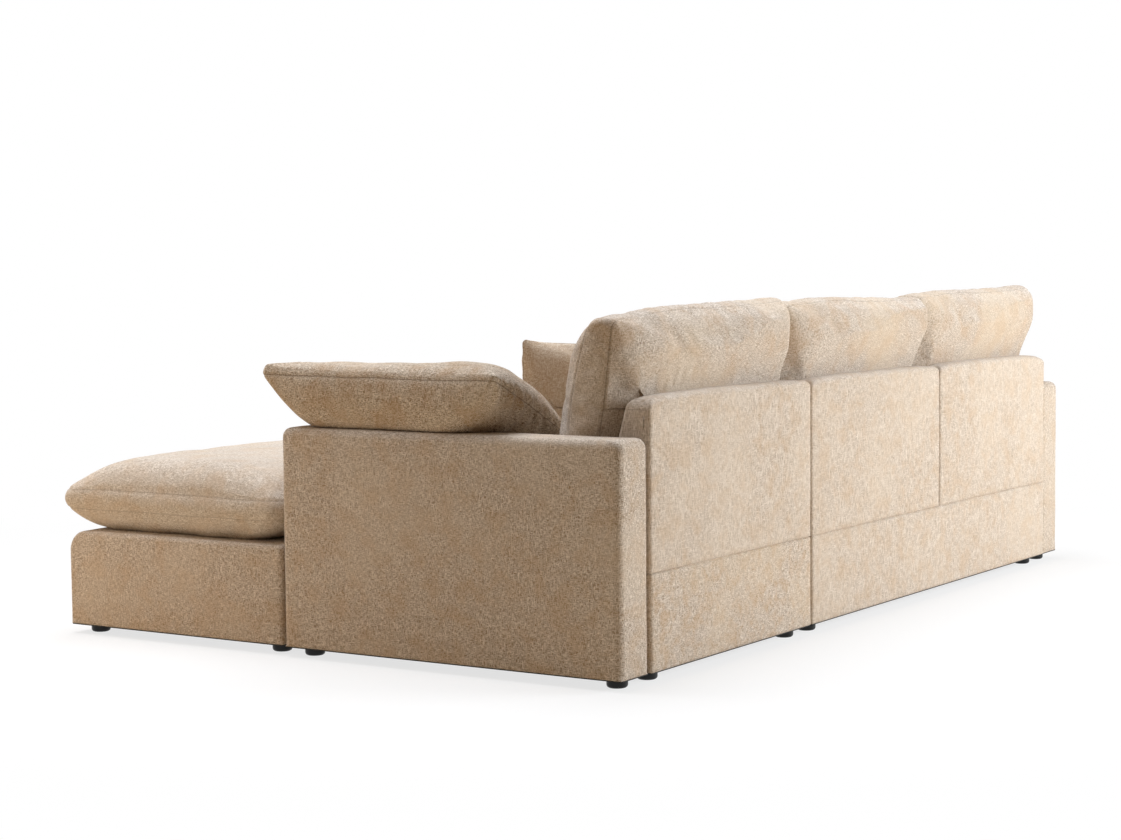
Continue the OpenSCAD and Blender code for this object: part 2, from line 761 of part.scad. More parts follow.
module corner_base_cover() { base_cover(corner_box, [0]); }
module corner_base_frame() { base_frame(corner_box, [0], 1); }
module corner_webbing() { webbing(corner_box, 6); }
module corner_dust_cover() { dust_cover(corner_box); }
module corner_back_cover() { back_cover(0); }
module corner_back_frame() { back_frame(0); }
module corner_seat_cushion() { seat_cushion(0); }
module corner_seat_foam() { seat_foam(0); }
module corner_back_cushion() { back_cushion(0); }
module corner_feet() { feet(foot_spots(corner_box)); }
module double_base_cover() { base_cover(double_box, [1, 2]); }
module double_base_frame() { base_frame(double_box, [1, 2], 3); }
module double_webbing() { webbing(double_box, 12); }
module double_dust_cover() { dust_cover(double_box); }
module middle_back_cover() { back_cover(1); }
module middle_back_frame() { back_frame(1); }
module middle_seat_cushion() { seat_cushion(1); }
module middle_seat_foam() { seat_foam(1); }
module middle_back_cushion() { back_cushion(1); }
module end_back_cover() { back_cover(2); }
module end_back_frame() { back_frame(2); }
module end_seat_cushion() { seat_cushion(2); }
module end_seat_foam() { seat_foam(2); }
module end_back_cushion() { back_cushion(2); }
module double_feet() { feet(foot_spots(double_box)); }
module right_arm_cover() { arm_cover(1); }
module right_arm_frame() { arm_frame(1); }
module right_arm_dust_cover() { arm_dust_cover(1); }
module right_arm_pillow() { arm_pillow(1); }
module right_arm_feet() { feet(arm_foot_spots(1)); }
module left_arm_cover() { arm_cover(-1); }
module left_arm_frame() { arm_frame(-1); }
module left_arm_dust_cover() { arm_dust_cover(-1); }
module left_arm_pillow() { arm_pillow(-1); }
module left_arm_feet() { feet(arm_foot_spots(-1)); }
module ottoman_base_cover() { base_cover(ottoman_box, []); }
module ottoman_base_frame() { base_frame(ottoman_box, [], 1); }
module ottoman_webbing() { webbing(ottoman_box, 7); }
module ottoman_dust_cover() { dust_cover(ottoman_box); }

// The ottoman's cushion stands a little proud of its base at the sides and in front
ottoman_x0 = ottoman_box[0] - ottoman_box[1] - cushion_gap;
ottoman_x1 = ottoman_box[0] + cushion_gap;
ottoman_d0 = ottoman_rear_d + cushion_gap;
module ottoman_cushion() { seat_skin(ottoman_x0, ottoman_x1, ottoman_d0, total_d, false); }
module ottoman_foam() { color(foam) foam_core(ottoman_x0, ottoman_x1, ottoman_d0, total_d, 0); }
module ottoman_feet() { feet(foot_spots(ottoman_box)); }
module back_brackets() { color(steel) for (i = [0:seats - 1]) bars(i, 0); }

// Bolts clamp the boards of two neighbouring frames, with both covers between them
module arm_bolts() {
    reach = shell + board_t;
    bolts(inner_w / 2 - module_gap / 2 - reach, inner_w / 2 + reach);
    bolts(-inner_w / 2 - reach, -inner_w / 2 + module_gap / 2 + reach);
}
module module_bolts() {
    reach = module_gap / 2 + shell + board_t;
    bolts(seat_x(1) - reach, seat_x(1) + reach);
}

corner_base_cover();
corner_base_frame();
corner_webbing();
corner_dust_cover();
corner_back_cover();
corner_back_frame();
corner_seat_cushion();
corner_seat_foam();
corner_back_cushion();
corner_feet();
double_base_cover();
double_base_frame();
double_webbing();
double_dust_cover();
middle_back_cover();
middle_back_frame();
middle_seat_cushion();
middle_seat_foam();
middle_back_cushion();
end_back_cover();
end_back_frame();
end_seat_cushion();
end_seat_foam();
end_back_cushion();
double_feet();
right_arm_cover();
right_arm_frame();
right_arm_dust_cover();
right_arm_pillow();
right_arm_feet();
left_arm_cover();
left_arm_frame();
left_arm_dust_cover();
left_arm_pillow();
left_arm_feet();
ottoman_base_cover();
ottoman_base_frame();
ottoman_webbing();
ottoman_dust_cover();
ottoman_cushion();
ottoman_foam();
ottoman_feet();
throw_pillow();
back_brackets();
arm_bolts();
module_bolts();
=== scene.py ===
# Corner sofa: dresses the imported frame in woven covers, sewn cushions and seams.
# Shapes are in millimetres until they are stored in metres, in the frame's axes. In the dictionaries, a and b
# are half a cushion's length and width, over and under its panels' crowns, strip its side's width.
import json
import math

import bmesh
import bpy
import numpy as np
from mathutils import Matrix, Vector
from numpy.linalg import norm


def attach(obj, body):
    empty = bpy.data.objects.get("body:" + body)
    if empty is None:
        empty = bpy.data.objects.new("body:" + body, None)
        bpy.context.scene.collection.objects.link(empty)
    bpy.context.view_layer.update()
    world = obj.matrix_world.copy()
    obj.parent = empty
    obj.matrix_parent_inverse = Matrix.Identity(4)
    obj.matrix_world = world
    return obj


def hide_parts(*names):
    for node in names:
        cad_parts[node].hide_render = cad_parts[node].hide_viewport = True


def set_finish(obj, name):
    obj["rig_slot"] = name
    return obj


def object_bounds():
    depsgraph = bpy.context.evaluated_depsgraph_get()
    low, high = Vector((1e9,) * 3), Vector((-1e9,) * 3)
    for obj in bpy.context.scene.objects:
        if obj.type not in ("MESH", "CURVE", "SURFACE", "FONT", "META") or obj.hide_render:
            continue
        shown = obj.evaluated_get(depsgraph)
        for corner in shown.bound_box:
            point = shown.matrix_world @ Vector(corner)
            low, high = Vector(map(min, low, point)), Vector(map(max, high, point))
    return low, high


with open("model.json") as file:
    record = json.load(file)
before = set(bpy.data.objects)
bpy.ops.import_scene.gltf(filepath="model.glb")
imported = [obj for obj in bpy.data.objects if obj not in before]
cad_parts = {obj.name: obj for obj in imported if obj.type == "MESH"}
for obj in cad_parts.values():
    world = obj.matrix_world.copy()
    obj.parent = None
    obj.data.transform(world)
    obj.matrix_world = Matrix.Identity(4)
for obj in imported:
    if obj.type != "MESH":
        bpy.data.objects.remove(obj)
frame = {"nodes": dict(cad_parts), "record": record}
cadLow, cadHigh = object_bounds()
scene = bpy.context.scene
rearY = cadHigh.y * 1000  # depths run forwards from the rear face of the backs
print("frame loaded:", len(frame["nodes"]), "nodes")

# Sizes shared with the frame, in millimetres
seatWidth, innerHalf, armWidth = 820, 1230, 125
seatDepth, deckHeight, skirtHeight = 984, 274, 26
backSeam, backFoot, backTop, backHeight = 256, 163, 64, 664
armHeight, moduleGap = 570, 4
bearingHeight, seatTop, seatSeam = 453.3, 475.3, 357.3


def linear(hexColour):
    parts = [int(hexColour[i:i + 2], 16) / 255 for i in (1, 3, 5)]
    return [c / 12.92 if c <= 0.04045 else ((c + 0.055) / 1.055) ** 2.4 for c in parts] + [1.0]


def portion(value, whole=1):
    return np.clip(value / whole, 0, 1)


def addObject(name, data):
    added = bpy.data.objects.new(name, data)
    scene.collection.objects.link(added)
    return added


def evaluated(piece):
    return piece.evaluated_get(bpy.context.evaluated_depsgraph_get())


def addNode(tree, kind, inputs=None, output=0, **settings):
    # Sockets among the inputs are linked, values are set, and the wanted output comes back
    node = tree.nodes.new("ShaderNode" + kind)
    for name, value in settings.items():
        setattr(node, name, value)
    for key, value in (inputs or {}).items():
        if isinstance(value, bpy.types.NodeSocket):
            tree.links.new(value, node.inputs[key])
        else:
            node.inputs[key].default_value = value
    return node.outputs[output]


eased = {"interpolation_type": "SMOOTHSTEP"}


def newMaterial(name, **sockets):
    material = bpy.data.materials.new(name)
    material.use_nodes = True
    tree = material.node_tree
    shader = tree.nodes["Principled BSDF"]
    for key, value in sockets.items():
        shader.inputs[key.replace("_", " ")].default_value = value
    return material, tree, shader


def chenilleWeave(name, look):
    # Chenille upholstery, woven polyester: matt, soft pile threads, pale slubs and nap that lies both ways
    material, tree, shader = newMaterial(name, Roughness=0.92, Sheen_Weight=0.22, Sheen_Roughness=0.45,
        Specular_IOR_Level=0.2)
    place = addNode(tree, "TexCoord", output="Object")
    normal = addNode(tree, "TexCoord", output="Normal")
    upwards = addNode(tree, "SeparateXYZ", {0: normal}, 2)
    level = addNode(tree, "Math", {0: upwards}, operation="ABSOLUTE")
    lying = addNode(tree, "MapRange", {0: level, 1: 0.45, 2: 0.75}, **eased)

    # Warp, weft and slubs are long noises: each has one stretch for upright panels and one for lying ones
    fine, long = 1000 / look["threadMm"], 1000 / look["threadLengthMm"]
    short, tall = 1000 / look["slubMm"], 1000 / look["slubLengthMm"]
    stretches = (
        ((fine, fine, long), (fine, long, long), 1.5, 0.6),
        ((long, long, fine), (long, fine, long), 1.5, 0.6),
        ((short, short, tall), (short, tall, short), 2.0, 0.7),
    )
    threads = []
    for upright, flat, detail, roughness in stretches:
        pair = []
        for stretch in (upright, flat):
            spread = addNode(tree, "Mapping", {"Vector": place, "Scale": stretch})
            pair.append(addNode(tree, "TexNoise", {"Vector": spread, "Scale": 1.0, "Detail": detail,
                "Roughness": roughness}))
        threads.append(addNode(tree, "Mix", {0: lying, 2: pair[0], 3: pair[1]}))
    warp, weft, slubs = threads
    lean = (look["warpShare"] - 0.5) * 0.2  # the set with the greater share lies on top more often
    over = addNode(tree, "Math", {0: warp, 1: lean}, operation="ADD")
    under = addNode(tree, "Math", {0: weft, 1: lean}, operation="SUBTRACT")
    weave = addNode(tree, "Math", {0: over, 1: under}, operation="MAXIMUM")

    patches = addNode(tree, "TexNoise", {"Vector": place, "Scale": 1000 / look["patchMm"], "Detail": 3.0,
        "Roughness": 0.55, "Distortion": 0.4})
    nap = addNode(tree, "TexNoise", {"Vector": place, "Scale": 1000 / look["napMm"], "Detail": 2.0})
    # Seam holds the distance from the nearest seam and along the way round it, both in millimetres
    seam = addNode(tree, "Attribute", output="Fac", attribute_name="seam")
    along = addNode(tree, "Attribute", output="Fac", attribute_name="along")

    # Depth tells how strongly the threads stand out from one another
    depth = look["depth"]
    limits = {1: 0.40, 2: 0.71, 3: 0.5 - depth / 2, 4: 0.5 + depth / 2}
    tone = addNode(tree, "MapRange", {0: weave, **limits}, **eased)
    colour = addNode(tree, "Mix", {0: tone, 6: linear(look["dark"]), 7: linear(look["light"])}, 2,
        data_type="RGBA")
    # Each layer: its pattern, the limits between which it comes in, its share and its colour
    layers = (
        (slubs, 0.56, 0.74, look["slubShare"] * depth, "slub"),
        (slubs, 0.44, 0.28, look["slubShare"] * depth, "shade"),
        (patches, 0.40, 0.72, look["patchShare"], "patch"),
        (nap, 0.45, 0.65, look["napShare"], "nap"),
        # the seam layer paints shade into the cloth along each seam's groove
        (seam, 2.4, 0.2, look["seamShare"], "paintedSeamShade"),
    )
    for pattern, low, high, share, laid in layers:
        amount = addNode(tree, "MapRange", {0: pattern, 1: low, 2: high, 4: share}, **eased)
        colour = addNode(tree, "Mix", {0: amount, 6: colour, 7: linear(look[laid])}, 2, data_type="RGBA")

    turns = addNode(tree, "Math", {0: along, 1: 2 * math.pi / look["stitchMm"]}, operation="MULTIPLY")
    stitch = addNode(tree, "Math", {0: turns}, operation="SINE")
    nearby = addNode(tree, "MapRange", {0: seam, 1: 5.0, 2: 1.0, 4: 1.2 * look["seamShare"]}, **eased)
    stitches = addNode(tree, "Math", {0: nearby, 1: stitch}, operation="MULTIPLY")
    pile = addNode(tree, "Math", {0: weave, 1: 1.6, 2: slubs}, operation="MULTIPLY_ADD")
    relief = addNode(tree, "Math", {0: pile, 1: stitches}, operation="ADD")
    bump = addNode(tree, "Bump", {"Strength": look["bump"] * depth, "Distance": 0.0015, "Height": relief})
    tree.links.new(colour, shader.inputs["Base Color"])
    tree.links.new(bump, shader.inputs["Normal"])
    return material


def patterned(name, dark, light, scaleMm, stretch=(1, 1, 1), bump=0.3, **sockets):
    # A plain material with one noise, stretched for grain, in its colour and its bump
    material, tree, shader = newMaterial(name, **sockets)
    place = addNode(tree, "TexCoord", output="Object")
    spread = addNode(tree, "Mapping", {"Vector": place, "Scale": [1000 / scaleMm * s for s in stretch]})
    grain = addNode(tree, "TexNoise", {"Vector": spread, "Scale": 1.0, "Detail": 5.0, "Roughness": 0.6,
        "Distortion": 0.3})
    tone = addNode(tree, "MapRange", {0: grain, 1: 0.35, 2: 0.65}, **eased)
    colour = addNode(tree, "Mix", {0: tone, 6: linear(dark), 7: linear(light)}, 2, data_type="RGBA")
    raised = addNode(tree, "Bump", {"Strength": bump, "Distance": 0.0006, "Height": grain})
    tree.links.new(colour, shader.inputs["Base Color"])
    tree.links.new(raised, shader.inputs["Normal"])
    return material


# Chenille threads are about 0.8 mm thick, too fine for the picture, so these are coarser; slubs, patches and
# nap have their real sizes
fabricLook = {
    "threadMm": 1.2, "threadLengthMm": 9, "slubMm": 1.3, "slubLengthMm": 6, "warpShare": 0.52, "patchMm": 55,
    "napMm": 260, "stitchMm": 4.0, "dark": "#94806A", "light": "#F2E8DC", "slub": "#EEE6DB",
    # the seam colour and its share paint shade along the seams' grooves; the share also sets the stitches' bump
    "shade": "#A07C55", "patch": "#C1A078", "nap": "#DCCBB4", "paintedSeamShade": "#6E5942", "seamShare": 0.3,
    "depth": 0.9, "slubShare": 0.32, "patchShare": 0.34, "napShare": 0.24, "bump": 0.45,
}
coverFabric = chenilleWeave("chenilleCover", {
    **fabricLook, "threadMm": 1.4, "threadLengthMm": 13, "warpShare": 0.64, "depth": 0.65, "nap": "#DCCEBC"})
brushedFabric = chenilleWeave("chenilleBrushed", {
    **fabricLook, "patchMm": 34, "patchShare": 0.46, "patch": "#BC9A70", "nap": "#DCC9AE", "seamShare": 0.2})
armFabric = chenilleWeave("chenilleArm", {**fabricLook, "depth": 1.05, "nap": "#DCCEBC", "seamShare": 0.06})
# The seat cushions' copy of the fabric is a little lighter: painted light
seatFabricPaintedLight = chenilleWeave("chenilleSeatPaintedLight", {
    **fabricLook, "patchMm": 80, "depth": 0.8, "dark": "#988670", "light": "#F7F0E6", "patch": "#C6A67F",
    "nap": "#E0D4C5"})
pillowFabric = chenilleWeave("chenillePillow", {
    **fabricLook, "patchMm": 70, "patchShare": 0.36, "napShare": 0.34, "patch": "#BF9C74", "nap": "#DCC8AC",
    "seamShare": 0.4})
# The arm pillows' copy of the fabric is darker, and its seams darker still: painted shade
armPillowFabricPaintedShade = chenilleWeave("chenilleArmPillowPaintedShade", {
    **fabricLook, "patchMm": 60, "patchShare": 0.44, "depth": 1.2, "dark": "#8D775E", "light": "#EFE3D2",
    "patch": "#B08B60", "seamShare": 0.6})
# The throw pillow's copy of the fabric is lighter and warmer: painted light, standing in for the warm light
# bounced between the cushions where it sits in shade
throwFabricPaintedLight = chenilleWeave("chenilleThrowPaintedLight", {
    **fabricLook, "dark": "#C0A07A", "light": "#FFF6E9", "patch": "#DBB88D", "patchShare": 0.2})
frameMaterials = {
    # Birch plywood and pine, sawn and planed: pale, with long grain
    "timber": patterned("sawnPine", "#B98F5E", "#DDBD8C", 9, (1, 0.06, 1), 0.25, Roughness=0.6),
    # Polypropylene webbing, woven in flat ribs: near black and matt
    "webbing": patterned("wovenWebbing", "#1D1B19", "#3A3632", 2.5, bump=0.6, Roughness=0.75),
    # Non-woven polypropylene, pressed from fibres: dark grey and fleecy
    "dust_cloth": patterned("spunbondCloth", "#242322", "#45433F", 1.6, bump=0.4, Roughness=0.9),
    # Polyurethane foam, cut from a block: pale yellow, with open cells
    "foam": patterned("cutFoam", "#D9C796", "#F2E6C0", 1.8, bump=0.8, Roughness=0.95),
    # ABS, injection moulded: black, with a fine spark-eroded texture
    "foot": patterned("mouldedAbs", "#050505", "#0C0C0B", 1.2, bump=0.15, Roughness=0.4,
        Specular_IOR_Level=0.3),
    # Steel, zinc plated: pale, slightly clouded
    "steel": patterned("zincPlatedSteel", "#9FA3A6", "#C9CCCF", 12, bump=0.05, Metallic=1.0, Roughness=0.32),
}
for row in frame["record"]["subparts"]:
    slot = row.get("material_slot")
    if slot in frameMaterials:
        node = frame["nodes"][row["node"]]
        node.data.materials.clear()
        node.data.materials.append(frameMaterials[slot])
print("materials made:", len(bpy.data.materials))


def ripple(points, size, seed):
    # Smooth, repeatable unevenness from -1 to 1 with waves about size millimetres long
    total = np.zeros(len(points))
    for k in range(6):
        turn, lift, phase = seed * 1.7 + k * 2.39996, math.sin(seed + k * 1.3), seed * 5.1 + k * 1.9
        way = np.array([math.cos(turn), math.sin(turn), lift])
        total += np.sin(points @ way * (2 * math.pi / (size * (0.75 + 0.13 * k))) + phase)
    return total / 3.5


def seamMarks(rings, seamRows):
    # How far each point is from the nearest seam row, and how far round its own ring
    steps = norm(np.diff(rings, axis=0), axis=2)
    span = np.vstack([np.zeros(rings.shape[1]), np.cumsum(steps, axis=0)])
    seam = np.full(span.shape, 99.0)
    for row in seamRows:
        seam = np.minimum(seam, np.abs(span - span[row]))
    closed = np.concatenate([rings, rings[:, :1]], axis=1)
    along = np.cumsum(norm(np.diff(closed, axis=1), axis=2), axis=1)
    return seam, along


def skinMesh(name, rings, marks, material, slot, grids=()):
    # Closed skin over a stack of equal rings; grids of points, if any, close its two ends
    rows, columns = rings.shape[:2]
    first = np.arange((rows - 1) * columns).reshape(rows - 1, columns)
    side = np.roll(first, -1, axis=1)
    faces = [np.stack([first, first + columns, side + columns, side], axis=2).reshape(-1, 4)]
    points, values = [rings.reshape(-1, 3)], {key: [marks[key].ravel()] for key in marks}
    for grid, gridMarks in grids:
        start = sum(len(part) for part in points)
        index = start + np.arange(grid.shape[0] * grid.shape[1]).reshape(grid.shape[:2])
        quads = np.stack([index[:-1, :-1], index[1:, :-1], index[1:, 1:], index[:-1, 1:]], axis=2)
        faces.append(quads.reshape(-1, 4))
        points.append(grid.reshape(-1, 3))
        for key in values:
            values[key].append(gridMarks[key].ravel())
    mesh = bpy.data.meshes.new(name)
    mesh.from_pydata((np.concatenate(points) / 1000).tolist(), [], np.concatenate(faces).tolist())
    for key in values:
        layer = mesh.attributes.new(key, "FLOAT", "POINT")
        layer.data.foreach_set("value", np.concatenate(values[key]).astype(np.float32))
    edit = bmesh.new()
    edit.from_mesh(mesh)
    bmesh.ops.remove_doubles(edit, verts=edit.verts, dist=0.0002)
    bmesh.ops.dissolve_degenerate(edit, edges=edit.edges, dist=0.00005)
    openEdges = [e for e in edit.edges if e.is_boundary]
    if openEdges:
        bmesh.ops.holes_fill(edit, edges=openEdges)
    bmesh.ops.recalc_face_normals(edit, faces=edit.faces)
    for face in edit.faces:
        face.smooth = True
    edit.to_mesh(mesh)
    edit.free()
    mesh.materials.append(material)
    piece = addObject(name, mesh)
    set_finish(piece, slot)
    return piece


def fetch(rows, key, width):
    # One property of many vertices, or of an attribute's rows, as an array
    flat = np.empty(len(rows) * width, np.float32)
    rows.foreach_get(key, flat)
    return flat.reshape(-1, width).astype(float)


def pointsOf(mesh):
    return fetch(mesh.vertices, "co", 3) * 1000


def valuesOf(mesh, key):
    return fetch(mesh.attributes[key].data, "value", 1)[:, 0]


def storePoints(mesh, points):
    mesh.vertices.foreach_set("co", (points / 1000).astype(np.float32).ravel())
    mesh.update()


def bendAt(corners, k):
    before, here, after = (np.array(corners[(k + j) % len(corners)][:2], float) for j in (-1, 0, 1))
    come, go = here - before, after - here
    come, go = come / norm(come), go / norm(go)
    return come, go, math.atan2(come[0] * go[1] - come[1] * go[0], come @ go)


def outlinePlan(corners, mains, step):
    # How many steps each arc and each straight takes, so that opposite sides of the outline match
    count = len(corners)
    arcs, straights, lengths = [], [], []
    for k in range(count):
        arcs.append(2 * max(1, math.ceil(abs(bendAt(corners, k)[2]) * corners[k][2] / 9)))
        lengths.append(norm(np.subtract(corners[(k + 1) % count][:2], corners[k][:2])))
        straights.append(max(1, round(lengths[k] / step)))

    def edgesOf(a, b):
        return [(a + j) % count for j in range((b - a) % count)]

    def total(a, b):
        return arcs[a] // 2 + arcs[b] // 2 + sum(straights[k] for k in edgesOf(a, b)) + sum(
            arcs[k] for k in edgesOf(a, b)[1:])

    sides = [(mains[j], mains[(j + 1) % 4]) for j in range(4)]
    for one, other in ((sides[0], sides[2]), (sides[1], sides[3])):
        short = one if total(*one) < total(*other) else other
        longest = max(edgesOf(*short), key=lambda k: lengths[k])
        straights[longest] += abs(total(*one) - total(*other))
    return arcs, straights, total(*sides[0]), total(*sides[1])


def outlineAt(corners, insets, plan, mains):
    # The outline with each straight side moved in by its own inset, from the middle of the first corner on
    arcs, straights = plan[:2]
    count, moved = len(corners), []
    for k in range(count):
        come, go, bend = bendAt(corners, k)
        here = np.array(corners[k][:2], float)
        first, second = insets[k - 1], insets[k]
        leftCome, leftGo = np.array([-come[1], come[0]]), np.array([-go[1], go[0]])
        solved = np.linalg.solve(np.array([leftCome, leftGo]), np.array([first, second]))
        moved.append((here + solved, max(corners[k][2] - max(first, second), 1.5), come, go, bend))
    points, starts = [], {}
    rounds = []
    for where, radius, come, go, bend in moved:
        reach = radius * abs(math.tan(bend / 2))
        start = where - come * reach
        centre = start + np.array([-come[1], come[0]]) * math.copysign(radius, bend)
        rounds.append((start, centre, bend, where + go * reach))
    for k in range(count):
        start, centre, bend, end = rounds[k]
        for j in range(arcs[k]):
            if j == arcs[k] // 2:
                starts[k] = len(points)
            turn, spoke = bend * j / arcs[k], start - centre
            points.append(centre + np.array([spoke[0] * math.cos(turn) - spoke[1] * math.sin(turn),
                spoke[0] * math.sin(turn) + spoke[1] * math.cos(turn)]))
        gap = rounds[(k + 1) % count][0] - end
        points += [end + gap * j / straights[k] for j in range(straights[k])]
    return np.roll(np.array(points), -starts[mains[0]], axis=0)


def spreadEdges(values, corners, plan, mains):
    # One value for each straight side, handed to the points of the outline and blended round its corners
    arcs, straights = plan[:2]
    spread, start = [], 0
    for k in range(len(corners)):
        if k == mains[0]:
            start = len(spread) + arcs[k] // 2
        spread += [values[k - 1] + (values[k] - values[k - 1]) * j / arcs[k] for j in range(arcs[k])]
        spread += [values[k]] * straights[k]
    return np.roll(np.array(spread, float), -start)


def panelGrid(loop, plan):
    # Four-sided grid of points over a closed outline
    n, m = plan[2], plan[3]
    closed = np.concatenate([loop, loop[:1]])
    bottom, front = closed[:n + 1], closed[n:n + m + 1]
    top, rear = closed[n + m:2 * n + m + 1][::-1], closed[2 * n + m:][::-1]
    u, v = np.linspace(0, 1, n + 1)[None, :, None], np.linspace(0, 1, m + 1)[:, None, None]
    return ((1 - v) * bottom[None] + v * top[None] + (1 - u) * rear[:, None] + u * front[:, None]
        - (1 - u) * (1 - v) * bottom[0] - u * (1 - v) * bottom[-1] - u * v * top[-1] - (1 - u) * v * top[0])


def outwards(loop):
    # Unit normals of a closed outline, pointing away from its middle
    along = np.roll(loop, -1, axis=0) - np.roll(loop, 1, axis=0)
    normal = np.stack([along[:, 1], -along[:, 0]], axis=1)
    normal /= norm(normal, axis=1)[:, None]
    area = np.sum(loop[:, 0] * np.roll(loop[:, 1], -1) - np.roll(loop[:, 0], -1) * loop[:, 1])
    return normal if area > 0 else -normal


def fittedCover(name, x0, x1, corners, mains, look, body, node, material=coverFabric):
    # Panels sewn round an outline in depth and height: two side panels and the band between them
    plan = outlinePlan(corners, mains, look["step"])
    edges = [look["lowerEdge"]] + [look["edge"]] * (len(corners) - 1)
    for k in look.get("softEdges", ()):
        edges[k] = look["softEdge"]
    edge = spreadEdges(edges, corners, plan, mains)
    loop = outlineAt(corners, [0] * len(corners), plan, mains)
    normal = outwards(loop)
    count = max(3, int((x1 - x0) / look["step"]))

    # Each ring: its outline, place along X, padding, turn from side to band, and which side it is on
    rows = [(outlineAt(corners, [e + more for e in edges], plan, mains), x1 + edge * 0, 0, 0, 1)
        for more in look["rim"]]
    bends = [math.radians(90 * k / look["edgeSteps"]) for k in range(1, look["edgeSteps"] + 1)]
    rounded = [(outlineAt(corners, [e * (1 - math.sin(t)) for e in edges], plan, mains), t) for t in bends]
    rows += [(flat, x1 - edge * (1 - math.cos(t)), 0, math.sin(t), 1) for flat, t in rounded]
    for k in range(1, count):
        near = min(k, count - k) / count * (x1 - x0)
        across = x1 - edge - (x1 - x0 - 2 * edge) * k / count
        rows.append((loop, across, 1 - math.exp(-near / look["swell"]), 1, 0))
    rows += [(flat, x0 + edge * (1 - math.cos(t)), 0, math.sin(t), -1) for flat, t in reversed(rounded)]
    rows += [(flat, x0 + edge * 0, 0, 0, -1) for flat, *rest in reversed(rows[:3])]
    seams = [2, len(rows) - 3]  # a seam runs where each side panel meets the rounded edge

    rings = np.array([np.column_stack([x, rearY - flat[:, 0], flat[:, 1]]) for flat, x, *rest in rows])
    padding, turned, sign = (np.array([row[k] for row in rows])[:, None] for k in (2, 3, 4))
    seam, along = seamMarks(rings, seams)
    grids = []
    for row, way in ((0, 1), (-1, -1)):
        grid = panelGrid(rings[row], plan)
        off = np.min(norm(grid.reshape(-1, 1, 3) - rings[row][None], axis=2), axis=1)
        off = off + look["rim"][0]
        grids.append((grid, way, {"seam": off, "along": off * 0}))

    def settled(points, padding, turned, sign, flatNormal):
        # Padding swells between the panel's edges, so it fades towards each straight side of the outline
        fade = np.ones(points.shape[:2])
        depth, height = rearY - points[:, :, 1], points[:, :, 2]
        for k in range(len(corners)):
            start, end = (np.array(corners[j % len(corners)][:2], float) for j in (k, k + 1))
            run = norm(end - start)
            if run > look["longSide"]:
                off = (end[0] - start[0]) * (height - start[1]) - (end[1] - start[1]) * (depth - start[0])
                fade *= 1 - np.exp(-np.abs(off) / run / look["fade"])
        flatPoints = points.reshape(-1, 3)
        waves = sum(share * ripple(flatPoints, size, look["seed"] + 3 * k)
            for k, (share, size) in enumerate(look["waves"])).reshape(fade.shape)
        calm = portion(height - skirtHeight, look["calm"])
        # No padding underneath, and its own on top
        puff = np.where(flatNormal[..., 1] < -0.5, 0,
            np.where(flatNormal[..., 1] > 0.7, look["topPuff"], look["puff"]))
        outward = padding * puff + turned * waves * calm
        moved = points.copy()
        moved[:, :, 1] -= outward * flatNormal[..., 0]
        moved[:, :, 2] += outward * flatNormal[..., 1]
        moved[:, :, 0] += sign * (1 - turned) * (look["sidePuff"] * fade + waves * calm * np.sqrt(fade))
        if "droop" in look:
            top = portion(height - backHeight + look["droopZone"], look["droopZone"]) ** 2
            for end, droop in ((x1, look["droop"]), (x0, look["droopFar"])):
                moved[:, :, 2] -= droop * np.exp(-np.abs(points[:, :, 0] - end) / look["droopReach"]) * top
        return moved

    rings = settled(rings, padding, turned, sign, normal[None])
    for row, way in zip(seams, (1, -1)):
        rings[row, :, 0] -= way * look["groove"]
    closing = [(settled(grid, 0, 0, way, np.zeros(grid.shape[:2] + (2,))), gridMarks)
        for grid, way, gridMarks in grids]
    for points in [rings] + [grid for grid, gridMarks in closing]:
        points[:, :, 2] = np.maximum(points[:, :, 2], skirtHeight + 0.2)
    piece = skinMesh(name, rings, {"seam": seam, "along": along}, material, "cover", closing)
    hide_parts(node)
    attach(piece, body)


# The covers' sizes: the roundness of their edges, the fullness of each panel and how it fades
coverLook = {
    "edge": 9, "lowerEdge": 5, "edgeSteps": 5, "rim": (10, 4, 0), "step": 13, "puff": 2.6, "topPuff": 1.2,
    "sidePuff": 0.8, "swell": 60, "fade": 70, "longSide": 60, "calm": 30, "groove": 0.9,
    "waves": ((0.6, 330), (0.24, 110)), "seed": 1,
}


def baseOutline(rear, front, step):
    # Corners as depth, height and radius, and which four of them part the side panels' grids
    corners = [(rear, skirtHeight, 3), (front, skirtHeight, 4), (front, deckHeight, 55)]
    if step:
        return corners + [(step, deckHeight, 3), (step, backSeam, 3), (rear, backSeam, 4)], (0, 1, 2, 5)
    return corners + [(rear, deckHeight, 12)], (0, 1, 2, 3)


seatStep = backFoot + 2
fittedCover("cornerBaseFabric", innerHalf - seatWidth + 2, innerHalf - 2,
    *baseOutline(0, seatDepth, seatStep), {**coverLook, "seed": 2}, "sofa", "corner_base_cover", brushedFabric)
fittedCover("doubleBaseFabric", -innerHalf + 2, innerHalf - seatWidth - 2,
    *baseOutline(0, seatDepth, seatStep), {**coverLook, "seed": 5}, "sofa", "double_base_cover")

ottomanLow, ottomanHigh, ottomanRear, ottomanFront = 418, 1347, 995, 1717
fittedCover("ottomanBaseFabric", ottomanLow, ottomanHigh, *baseOutline(ottomanRear, ottomanFront, 0),
    {**coverLook, "edge": 11, "sidePuff": 3.0, "groove": 0.2, "seed": 8}, "ottoman",
    "ottoman_base_cover", armFabric)

